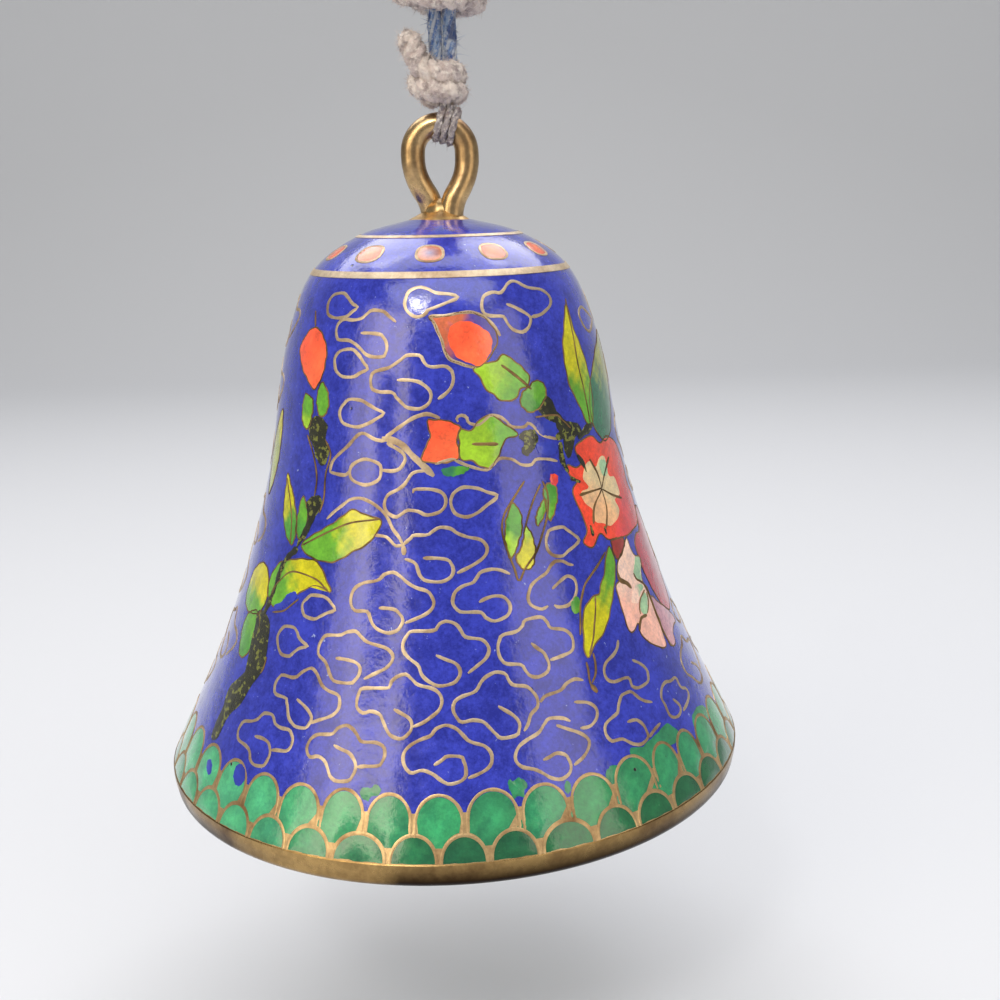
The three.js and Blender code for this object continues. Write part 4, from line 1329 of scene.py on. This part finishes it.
# the wires in view, by their paths on the photograph
clouds = [
    [(413, 493), (417, 489), (428, 489), (439, 491), (444, 495), (446, 501), (443, 509), (437, 513),
     (427, 515), (417, 511), (409, 510), (403, 513), (396, 517), (389, 514), (385, 508), (385, 501),
     (389, 494), (397, 490), (404, 485), (409, 478), (413, 473), (420, 471), (425, 471)],
    [(403, 545), (411, 538), (416, 535), (425, 535), (433, 531), (441, 527), (449, 528), (457, 533),
     (468, 537), (479, 539), (486, 545), (487, 551), (483, 558), (473, 565), (457, 573)],
    [(423, 558), (433, 558), (445, 559), (452, 565), (453, 573), (448, 579), (439, 582), (428, 581),
     (421, 577), (418, 570), (415, 563), (409, 560), (405, 559)],
    [(379, 608), (385, 608), (393, 609), (399, 613), (403, 619), (401, 626), (396, 631), (388, 633),
     (379, 630), (372, 623), (370, 617), (365, 611), (357, 611), (352, 606), (351, 601), (353, 591),
     (359, 585), (367, 582), (375, 581), (380, 579), (385, 574), (393, 572), (400, 576), (408, 583),
     (417, 588), (427, 591), (432, 597), (434, 603), (431, 610), (424, 615), (415, 619), (405, 623)],
    [(479, 602), (487, 598), (494, 596), (500, 596), (508, 601), (510, 610), (505, 617), (495, 621),
     (485, 617), (478, 612), (463, 612), (459, 611), (453, 604), (453, 598), (456, 591), (465, 585),
     (472, 583), (477, 577), (483, 571), (492, 569), (500, 570), (510, 574)],
    [(336, 658), (344, 659), (353, 661), (359, 665), (360, 672), (356, 679), (348, 683), (338, 682),
     (331, 676), (328, 668), (325, 661), (319, 655), (319, 647), (322, 640), (328, 635), (340, 635),
     (347, 632), (355, 631), (361, 636), (368, 642), (377, 645), (386, 648), (393, 655), (392, 661),
     (386, 668), (374, 674), (364, 679)],
    [(436, 655), (445, 659), (455, 663), (460, 670), (459, 677), (451, 684), (440, 686), (430, 682),
     (422, 675), (418, 665), (410, 659), (404, 652), (403, 644), (407, 636), (415, 631), (430, 631),
     (439, 624), (446, 621), (454, 623), (460, 629), (466, 637), (471, 638), (480, 639), (486, 643),
     (489, 649), (486, 658), (478, 665), (468, 673)],
    [(297, 699), (304, 705), (309, 711), (312, 718), (309, 724), (303, 728), (297, 727), (292, 723),
     (289, 717), (288, 708), (287, 702), (284, 697), (278, 695), (275, 689), (276, 683), (279, 678),
     (285, 675), (291, 677), (296, 677), (301, 673), (306, 670), (312, 668), (317, 673), (320, 680),
     (323, 686), (329, 691), (337, 694), (340, 702), (338, 710), (331, 716), (319, 720), (310, 723)],
    [(394, 709), (401, 713), (409, 718), (412, 725), (409, 733), (400, 739), (392, 736), (387, 730),
     (383, 721), (378, 713), (371, 711), (364, 713), (358, 709), (357, 701), (359, 694), (365, 688),
     (377, 688), (386, 688), (391, 682), (398, 676), (405, 674), (412, 679), (419, 685), (431, 688),
     (438, 692), (442, 700), (439, 710), (431, 717), (422, 723), (412, 727)],
    [(334, 745), (341, 749), (348, 752), (354, 759), (356, 766), (353, 775), (346, 781), (337, 781),
     (331, 777), (328, 769), (324, 760), (318, 756), (311, 757), (307, 751), (308, 744), (313, 737),
     (320, 734), (331, 734), (338, 728), (347, 725), (353, 729), (358, 736), (364, 742), (374, 742),
     (382, 745), (385, 752), (383, 760), (376, 766), (365, 766), (357, 767)],
    [(434, 765), (442, 760), (449, 756), (458, 756), (464, 762), (466, 770), (465, 777), (459, 782),
     (450, 784), (442, 781), (433, 774), (422, 770), (412, 773), (406, 768), (403, 759), (405, 751),
     (412, 744), (422, 739), (430, 736), (437, 728), (446, 725), (455, 728), (463, 735), (469, 741),
     (475, 743), (483, 745), (490, 751), (492, 759), (489, 767), (480, 773), (468, 778)],
    [(498, 706), (505, 710), (513, 715), (519, 722), (519, 730), (514, 736), (504, 738), (496, 734),
     (489, 727), (481, 721), (472, 720), (463, 722), (456, 716), (453, 709), (456, 700), (463, 696),
     (474, 692), (481, 682), (487, 676), (496, 672), (504, 673), (508, 679), (514, 685), (525, 686),
     (532, 691), (537, 698), (537, 707), (531, 714), (528, 724), (524, 731)],
    [(531, 643), (537, 648), (543, 652), (547, 659), (549, 665), (546, 673), (538, 677), (531, 676),
     (525, 670), (519, 664), (508, 664), (501, 659), (498, 650), (499, 641), (505, 634), (514, 632),
     (522, 626), (528, 619), (537, 617), (546, 621), (551, 628), (562, 629), (570, 634), (573, 643),
     (570, 652), (561, 656), (550, 660)],
    [(540, 702), (547, 695), (559, 691), (567, 683), (574, 679), (583, 680)],
    [(574, 702), (585, 702), (594, 706), (597, 713), (594, 722), (588, 727), (580, 728)],
    [(543, 760), (549, 757), (556, 753), (564, 754), (569, 760), (571, 767), (568, 775), (561, 779),
     (552, 778), (543, 773), (534, 769), (523, 767), (516, 761), (516, 752), (520, 745), (528, 739),
     (538, 733), (544, 724), (550, 718), (562, 718), (570, 721)],
    [(556, 725), (568, 729), (580, 733), (588, 739), (589, 746), (583, 757), (574, 765)],
    [(618, 640), (617, 648), (613, 655), (607, 661), (604, 667), (605, 676), (610, 681), (617, 681),
     (624, 678), (633, 687), (640, 687), (646, 683), (648, 676), (646, 669), (639, 663), (632, 660)],
    [(652, 702), (645, 701), (639, 698), (634, 694), (628, 692), (623, 694), (620, 699), (618, 707),
     (617, 713), (611, 718), (606, 723), (605, 732), (609, 739), (613, 741), (620, 739), (627, 741),
     (634, 744), (641, 744), (647, 739), (646, 730), (640, 722), (633, 720), (627, 722)],
    [(649, 737), (654, 730), (660, 723)],
    [(361, 333), (369, 333), (379, 334), (384, 338), (387, 345), (386, 352), (381, 357), (374, 357),
     (367, 355), (361, 349), (354, 343), (347, 340), (340, 340), (337, 335), (337, 328), (340, 322),
     (346, 319), (352, 320), (360, 319), (367, 314), (374, 310), (382, 311), (389, 316), (396, 322)],
    [(397, 380), (407, 380), (416, 381), (424, 385), (430, 391), (431, 398), (427, 405), (418, 409),
     (409, 408), (402, 403), (396, 397), (390, 392), (382, 392), (374, 390), (371, 384), (371, 378),
     (374, 372), (380, 370), (388, 368), (395, 364), (402, 359), (409, 355), (417, 355), (423, 360),
     (428, 366), (434, 367), (443, 366), (450, 369), (453, 375), (453, 382), (450, 389), (444, 395),
     (438, 399)],
    [(506, 304), (512, 306), (518, 309), (525, 313), (530, 317), (530, 323), (527, 329), (522, 332),
     (516, 331), (510, 327), (506, 321), (501, 316), (492, 316), (485, 314), (482, 309), (482, 301),
     (485, 295), (493, 292), (499, 293), (504, 289), (507, 284), (512, 281), (517, 282), (522, 285),
     (530, 288), (539, 289), (546, 293), (550, 298), (550, 305), (546, 310), (539, 315), (531, 317)],
    [(255, 736), (262, 738), (267, 741), (270, 747), (270, 754), (267, 761), (262, 766), (255, 765),
     (251, 761), (250, 754), (249, 749), (244, 744), (240, 741), (238, 734), (240, 727), (245, 721),
     (252, 721), (258, 719), (262, 715), (266, 713), (271, 714), (274, 718), (276, 724), (282, 728),
     (288, 729), (292, 735), (293, 741), (290, 748), (285, 751), (277, 750), (271, 750)],
    [(573, 565), (568, 564), (562, 561), (556, 561), (551, 565), (546, 573), (539, 578), (532, 584),
     (529, 591), (528, 599), (531, 605), (537, 608), (542, 609), (548, 606)],
    [(552, 589), (561, 580), (567, 576), (573, 578), (576, 584), (576, 592), (572, 601), (566, 606),
     (560, 607), (554, 605)],
]
drops = [
    [(358, 307), (353, 304), (348, 297), (343, 293), (336, 294), (330, 300), (328, 308), (330, 316),
     (337, 318), (345, 317), (352, 312)],
    [(368, 369), (364, 363), (358, 354), (351, 349), (343, 350), (336, 356), (335, 364), (338, 373),
     (345, 377), (352, 377), (360, 373)],
    [(384, 413), (376, 409), (368, 404), (360, 400), (352, 399), (344, 404), (340, 411), (341, 419),
     (345, 424), (356, 427), (367, 424), (376, 419)],
    [(458, 297), (449, 294), (437, 293), (428, 289), (420, 287), (411, 290), (406, 298), (405, 306),
     (409, 313), (417, 317), (424, 315), (428, 310), (436, 307), (446, 303)],
    [(497, 495), (487, 492), (476, 488), (465, 487), (456, 491), (451, 499), (452, 508), (458, 515),
     (467, 517), (477, 513), (487, 505), (495, 499)],
    [(335, 610), (332, 604), (328, 599), (322, 596), (313, 595), (308, 598), (303, 603), (303, 611),
     (307, 617), (313, 619), (319, 617), (327, 613)],
    [(308, 646), (303, 642), (299, 637), (297, 631), (293, 627), (287, 626), (282, 629), (278, 636),
     (278, 643), (280, 651), (283, 655), (288, 656), (293, 653), (300, 648)],
    [(579, 540), (574, 546), (568, 551), (562, 556), (556, 556), (549, 552), (546, 543), (547, 535),
     (552, 529), (560, 527), (567, 530), (574, 535)],
    [(381, 472), (378, 463), (366, 459), (355, 463), (350, 471), (354, 481), (365, 485), (377, 481)],
]
# width, path
looseWires = [
    (0.3, [(330, 472), (333, 461), (348, 446), (363, 433), (377, 440), (385, 441)]),
    (0.3, [(330, 472), (343, 475), (351, 470)]),
    (0.3, [(381, 470), (392, 471), (404, 463), (403, 453), (387, 443)]),
    (0.55, [(382, 438), (395, 441), (415, 458), (434, 476)]),
    (0.33, [(385, 438), (401, 426), (418, 416), (427, 414), (440, 418)]),
    (0.28, [(327, 519), (333, 513), (343, 505), (352, 499), (360, 498), (369, 501), (379, 508),
            (387, 517), (393, 529), (399, 537), (403, 545)]),
    (0.28, [(374, 535), (383, 536), (391, 541), (397, 546), (403, 545)]),
    (0.45, [(403, 545), (404, 550), (404, 555)]),
    (0.28, [(429, 316), (439, 316), (449, 315), (459, 313), (469, 312), (478, 314), (486, 318),
            (494, 326), (500, 336)]),
    (0.28, [(429, 316), (434, 323), (438, 332), (442, 341), (445, 352), (451, 360), (459, 363),
            (467, 366), (476, 368)]),
    (0.26, [(458, 422), (457, 417), (462, 415), (467, 418), (469, 423), (478, 425), (484, 421),
            (491, 415), (498, 416), (506, 421), (514, 427), (523, 427), (528, 423), (535, 428),
            (542, 435), (557, 439)]),
    (0.26, [(435, 464), (452, 459), (457, 461), (469, 466), (486, 470), (493, 465), (501, 458),
            (511, 459), (523, 465), (530, 465), (537, 459), (547, 459), (557, 461)]),
]
sideCloud = (675, 697, 28, 40)
scrolls = {
    "wire": 0.29, "proud": 0.035, "step": 0.26, "cloud": (6.0, 4.4), "drop": (3.2, 2.2), "bend": 0.05,
    # the sides, in degrees from the front, and how finely places there are tried
    "sides": (72, 108), "search": 0.7, "margin": 0.75, "lowest": 6.4, "underCrown": 1.2,
    "perSpan": 6, "markStep": 0.8,
}


def handBent(drawing):
    # a drawing with slight slow waves in both directions, as each wire was bent by hand
    phase = dice.uniform(0, 6, 4)
    waves = np.stack([
        np.sin(2.3 * drawing[:, 1] + phase[0]) + np.sin(4.1 * drawing[:, 0] + phase[1]),
        np.sin(2.7 * drawing[:, 0] + phase[2]) + np.sin(3.7 * drawing[:, 1] + phase[3]),
    ], axis=1)
    return drawing + scrolls["bend"] * waves


def gapBoxes(taken, wide, tall):
    # places in fine rows on the bell's two sides, each kept where nothing lies in an ellipse about it
    turn = np.linspace(0, 2 * math.pi, 16, endpoint=False)
    circle = np.stack([np.cos(turn), np.sin(turn)], axis=1)
    filled = np.vstack([circle, 0.5 * circle, [[0, 0]]])
    low, high = np.radians(scrolls["sides"])
    half = np.array([wide, tall]) / 2 + scrolls["margin"]
    boxes = []
    highest = crownAt - scrolls["underCrown"] - tall / 2
    for along in np.arange(scrolls["lowest"] + tall / 2, highest, scrolls["search"]):
        places = np.arange(low, high, scrolls["search"] / radiusAt(along))
        for angle in np.concatenate([places, places + math.pi]):
            apart = np.remainder(taken[:, 0] - angle + math.pi, 2 * math.pi) - math.pi
            if np.hypot(apart * radiusAt(along) / half[0], (taken[:, 1] - along) / half[1]).min() > 1:
                boxes.append(sizedBox(angle, along, wide, tall))
                taken = np.vstack([taken, drawnIn(boxes[-1], filled)])
    return boxes, taken


def makeScrolls():
    wire, step, perSpan = scrolls["wire"], scrolls["step"], scrolls["perSpan"]
    lines = [(wire, pixels, False) for pixels in clouds]
    lines += [(wire, pixels, True) for pixels in drops]
    lines += [(width, pixels, False) for width, pixels in looseWires]
    marks = [raggedOutline(cell[-1], scrolls["markStep"]) for cell in onSprays()]
    marks += [raggedOutline(chartAt(pixels), scrolls["markStep"]) for pixels in stalks]
    marks += [0.5 * mark + 0.5 * mark.mean(axis=0) for mark in marks]
    side = boxOnWall(*sideCloud)
    paths = [(wire, evenOnWall(drawnIn(side, smoothPath(cloudDrawing, perSpan)), step), False)]
    for width, pixels, closed in lines:
        path = smoothPath(chartAt(pixels), perSpan, closed)
        paths.append((width, evenOnWall(path, step, closed), closed))
    taken = np.vstack(marks + [path[::3] for width, path, closed in paths])
    taken = np.vstack([taken, taken + (backTurn, 0)])
    paths += [(width, path + (backTurn, 0), closed) for width, path, closed in paths]
    for drawing, size, closed in ((cloudDrawing, "cloud", False), (dropDrawing, "drop", True)):
        boxes, taken = gapBoxes(taken, *scrolls[size])
        for box in boxes:
            bent = drawnIn(box, handBent(smoothPath(drawing, perSpan, closed)))
            paths.append((wire, evenOnWall(bent, step, closed), closed))
    wires = [wireStroke(path, width, scrolls["proud"], closed) for width, path, closed in paths]
    addPiece("scroll_wires", joined(wires), finishes["wire"], "bell")
    return len(wires)


print("scrolls laid:", makeScrolls())


# Hanger: one wire bent into a loop, its foot in solder
hanger = {
    "wire": 2.0, "loopRadius": 2.25, "behind": 0.6, "foot": 0.8, "step": 0.12,
    # half width of the loop's centre line, by the depth below its top
    "leg": [(2.22, 3.3), (2.0, 4.3), (1.6, 5.2), (1.15, 6.0), (0.9, 6.8), (0.8, 7.7)],
    "backFrom": 3.3, "backOver": 3,     # the legs part to the front and back below this depth, over this much
    "sides": 30, "swell": 0.012, "swellTurn": 1.7,
    "puddle": 2.6, "puddleHeight": 1.0, "puddleDepth": 0.3, "puddleRings": 22, "puddleSides": 72,
    "web": (1.35, 1.5, 1.2), "webHeight": -0.1, "webUneven": 0.035, "webRings": 21, "webSides": 32,
}


def makeHanger():
    low, high = nodeBox("hanger_loop")
    radius, behind = hanger["loopRadius"], hanger["behind"]
    top = high[2] - hanger["wire"] / 2
    turn = np.radians(np.linspace(0, 180, 13))
    arch = np.stack([radius * np.cos(turn), 0 * turn, top - radius + radius * np.sin(turn)], axis=1)
    leg = np.array(hanger["leg"])
    depth = np.clip((leg[:, 1] - hanger["backFrom"]) / hanger["backOver"], 0, 1)
    right = np.stack([leg[:, 0], -behind * depth, top - leg[:, 1]], axis=1)[::-1]
    right = np.vstack([[(hanger["foot"], -behind, low[2])], right])
    left = (right * (-1, -1, 1))[::-1]
    path = evenPath(smoothPath(np.vstack([right, arch, left]) + tackleShift), hanger["step"])
    swell = 1 + hanger["swell"] * np.sin(runLength(path) * hanger["swellTurn"])
    shape = sweptTube(path, hanger["wire"] / 2 * swell, hanger["sides"])
    addPiece("hanger_wire", shape, finishes["hanger"], "bell", ("hanger_loop",))


def makeSolder():
    # an uneven low mound, and a lump between the legs
    rings, sides = hanger["puddleRings"], hanger["puddleSides"]
    share = np.linspace(0.02, 1, rings)[:, None]
    angle = np.linspace(0, 2 * math.pi, sides, endpoint=False)[None]
    wide = hanger["puddle"] * (1 + 0.04 * np.sin(2 * angle + 0.4) + 0.025 * np.sin(5 * angle + 2))
    reach = share * wide
    crown = np.interp(reach, wall["radius"][::-1], wall["height"][::-1])
    mound = hanger["puddleHeight"] * (1 - share**2) ** 1.5 * (1 + 0.25 * np.sin(3 * angle + 1) * share)
    upper = np.stack([reach * np.sin(angle), -reach * np.cos(angle), crown + mound], axis=-1)
    upper = upper + (1 - share**2)[..., None] * tackleShift
    points = np.vstack([upper.reshape(-1, 3), upper[-1] - (0, 0, hanger["puddleDepth"])])
    faces = [face[::-1] for face in tubeFaces(rings + 1, sides)]
    rings, sides = hanger["webRings"], hanger["webSides"]
    around = np.linspace(0, 2 * math.pi, sides, endpoint=False)[None]
    tilt = np.radians(np.linspace(-88, 88, rings))[:, None]
    level, rise = np.cos(tilt), np.sin(tilt) + 0 * around
    lump = np.stack([level * np.cos(around), level * np.sin(around), rise], axis=-1)
    lump = lump * (1 + hanger["webUneven"] * np.sin(6 * around + tilt))[..., None] * hanger["web"]
    lump = lump + tackleShift + (0, 0, nodeBox("crown_collar")[1][2] + hanger["webHeight"])
    shape = joined([(points, faces, None), (lump.reshape(-1, 3), tubeFaces(rings, sides), None)])
    addPiece("solder_foot", shape, finishes["solder"], "bell", ("crown_collar",))


makeHanger()
makeSolder()
print("hanger bent")


# Clapper: washer, eye, link, rod and ball
clapper = {
    "eyeWire": 1.0, "eyeRadius": 1.5, "linkWire": 0.9, "linkRadius": 2.3, "rodWire": 1.0, "rodEye": 1.5,
    "rodEyeFrom": 205, "rodEyeTo": -45, "ball": 4.5, "bore": 0.6, "sides": 18, "turns": 72,
    "eyeStep": 0.15, "rodStep": 0.2,
}


def ringArc(radius, fromDegrees, toDegrees, count):
    turn = np.radians(np.linspace(fromDegrees, toDegrees, count))
    return np.stack([0 * turn, radius * np.cos(turn), radius * np.sin(turn)], axis=1)


def makeClapper():
    eyeLow, eyeHigh = nodeBox("clapper_eye")
    eyeRadius, sides, turns = clapper["eyeRadius"], clapper["sides"], clapper["turns"]
    arc = ringArc(eyeRadius, 0, -180, 17) + (0, 0, eyeLow[2] + clapper["eyeWire"] / 2 + eyeRadius)
    ends = np.array([(0, eyeRadius, eyeHigh[2]), (0, eyeRadius, eyeHigh[2] - 1)])
    path = np.vstack([ends, arc, (ends * (1, -1, 1))[::-1]])
    shape = sweptTube(evenPath(smoothPath(path), clapper["eyeStep"]), clapper["eyeWire"] / 2, sides)
    addPiece("clapper_staple", shape, finishes["hanger"], "bell", ("clapper_eye",))
    linkLow, linkHigh = nodeBox("clapper_link")
    turn = np.linspace(0, 2 * math.pi, turns, endpoint=False)[:, None]
    around = np.linspace(0, 2 * math.pi, sides, endpoint=False)[None]
    reach = clapper["linkRadius"] + clapper["linkWire"] / 2 * np.cos(around)
    thick = clapper["linkWire"] / 2 * np.sin(around) + 0 * turn
    ring = np.stack([reach * np.cos(turn), thick, reach * np.sin(turn)], axis=-1).reshape(-1, 3)
    ring = ring + (0, 0, (linkLow[2] + linkHigh[2]) / 2)
    shape = (ring, gridFaces(turns, sides, closedRows=True, closedColumns=True).tolist(), None)
    addPiece("clapper_ring", shape, finishes["hanger"], "link", ("clapper_link",))
    rodLow, rodHigh = nodeBox("clapper_rod")
    eyeMiddle = rodHigh[2] - clapper["rodWire"] / 2 - clapper["rodEye"]
    eye = ringArc(clapper["rodEye"], clapper["rodEyeFrom"], clapper["rodEyeTo"], 21) + (0, 0, eyeMiddle)
    straight = eyeMiddle - 2 * clapper["rodEye"]
    path = np.vstack([eye, [(0, 0, straight), (0, 0, (straight + rodLow[2]) / 2), (0, 0, rodLow[2])]])
    shape = sweptTube(evenPath(smoothPath(path), clapper["rodStep"]), clapper["rodWire"] / 2, sides)
    addPiece("clapper_stem", shape, finishes["hanger"], "clapper", ("clapper_rod",))
    ballLow, ballHigh = nodeBox("clapper_ball")
    slant = math.asin(clapper["bore"] / clapper["ball"])
    angle = np.linspace(-math.pi / 2 + slant, math.pi / 2 - slant, 48)
    section = np.stack([clapper["ball"] * np.cos(angle), clapper["ball"] * np.sin(angle)], axis=1)
    section = section + (0, (ballLow[2] + ballHigh[2]) / 2)
    shape = turnedSolid(section, turns)
    addPiece("clapper_bob", shape, finishes["ball"], "clapper", ("clapper_ball",))
    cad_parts["inner_washer"].data.materials.clear()
    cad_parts["inner_washer"].data.materials.append(finishes["ball"])


makeClapper()
print("clapper hung")


# Stage: pale sweep of floor and backdrop, soft lights
studio = {
    "floorDrop": 26.0, "front": -1100, "back": 420, "bend": 260, "high": 1400, "wide": 1500,
    "tone": paint(196, 199, 205), "glow": 0.16, "world": 0.27,
    # direction to the light in degrees (0 to the camera's side, + to the right; above level), distance,
    # width, height, brightness, colour
    "lights": [
        ("window_edge", -57.5, 15, 460, 100, 335, 1.9, (1.0, 0.86, 0.64)),
        ("window_far_left", -47, 15, 460, 70, 335, 3.3, (1.0, 0.86, 0.64)),
        ("window_high", -36, 26, 460, 106, 146, 3.3, (1.0, 0.86, 0.64)),
        ("window_left", -26.1, 15, 460, 52, 335, 3.3, (1.0, 0.86, 0.64)),
        ("window_right", 48.5, 14, 460, 245, 330, 1.5, (1.0, 0.88, 0.7)),
        ("front_above", 2, 57, 420, 560, 190, 2.3, (1.0, 0.98, 0.96)),
        ("overhead", 180, 83, 420, 520, 170, 2.1, (1.0, 0.98, 0.98)),
        ("back_left", -142, 53, 420, 241, 249, 2.7, (1.0, 0.98, 0.98)),
        ("back_right", 142, 53, 420, 241, 249, 2.8, (1.0, 0.98, 0.98)),
        ("small_lamp", -19.2, 41.3, 400, 58, 54, 26.0, (1.0, 0.97, 0.92)),
    ],
    "aim": (0, 0, 30),
}


def makeStage():
    # a floor that bends up into a wall by a quarter circle, carried straight across
    quarter = np.radians(np.linspace(0, 90, 25))
    bend = studio["bend"]
    line = np.vstack([
        [(studio["front"], 0.0)],
        np.stack([studio["back"] + bend * np.sin(quarter), bend - bend * np.cos(quarter)], axis=1),
        [(studio["back"] + bend, studio["high"])],
    ]) - (0, studio["floorDrop"])
    edges = (-studio["wide"], studio["wide"])
    points = np.concatenate([np.column_stack([np.full(len(line), x), line]) for x in edges])
    mesh = bpy.data.meshes.new("pale_sweep")
    mesh.from_pydata((points * mm + (0, 0, mouthZ)).tolist(), [], gridFaces(2, len(line))[:, ::-1].tolist())
    mesh.polygons.foreach_set("use_smooth", np.ones(len(mesh.polygons), bool))
    material, tree, shader = newFinish("pale_sweep", Roughness=0.8)
    shader.inputs["Base Color"].default_value = asColour(studio["tone"])
    shader.inputs["Emission Color"].default_value = (1, 1, 1, 1)
    ray = addNode(tree, "ShaderNodeLightPath").outputs
    seen = maths(tree, "ADD", ray["Is Camera Ray"], ray["Is Glossy Ray"])
    seen = maths(tree, "ADD", seen, ray["Is Transmission Ray"], use_clamp=True)
    glow = maths(tree, "MULTIPLY", seen, studio["glow"])
    tree.links.new(glow, shader.inputs["Emission Strength"])
    mesh.materials.append(material)
    sweep = bpy.data.objects.new("pale_sweep", mesh)
    bpy.context.scene.collection.objects.link(sweep)
    world = bpy.data.worlds.new("soft_room")
    world.use_nodes = True
    world.node_tree.nodes["Background"].inputs["Color"].default_value = (1, 1, 1, 1)
    world.node_tree.nodes["Background"].inputs["Strength"].default_value = studio["world"]
    bpy.context.scene.world = world


def makeLights():
    # boxes that face the bell; a box's power is its brightness times its area times pi
    for name, turn, lift, distance, width, height, bright, colour in studio["lights"]:
        data = bpy.data.lights.new(name, "AREA")
        data.shape = "RECTANGLE"
        data.size = width * mm
        data.size_y = height * mm
        data.energy = bright * math.pi * data.size * data.size_y
        data.color = colour
        turn, lift = math.radians(turn), math.radians(lift)
        back = np.array([math.sin(turn) * math.cos(lift), -math.cos(turn) * math.cos(lift), math.sin(lift)])
        side = np.cross((0, 0, 1), back)
        side /= np.linalg.norm(side)
        place = (np.array(studio["aim"]) + distance * back) * mm + (0, 0, mouthZ)
        columns = np.column_stack([side, np.cross(back, side), back, place])
        light = bpy.data.objects.new(name, data)
        light.matrix_world = Matrix(np.vstack([columns, (0, 0, 0, 1)]).tolist())
        bpy.context.scene.collection.objects.link(light)
    bpy.context.scene.view_settings.view_transform = "Standard"


makeStage()
makeLights()
print("stage lit")
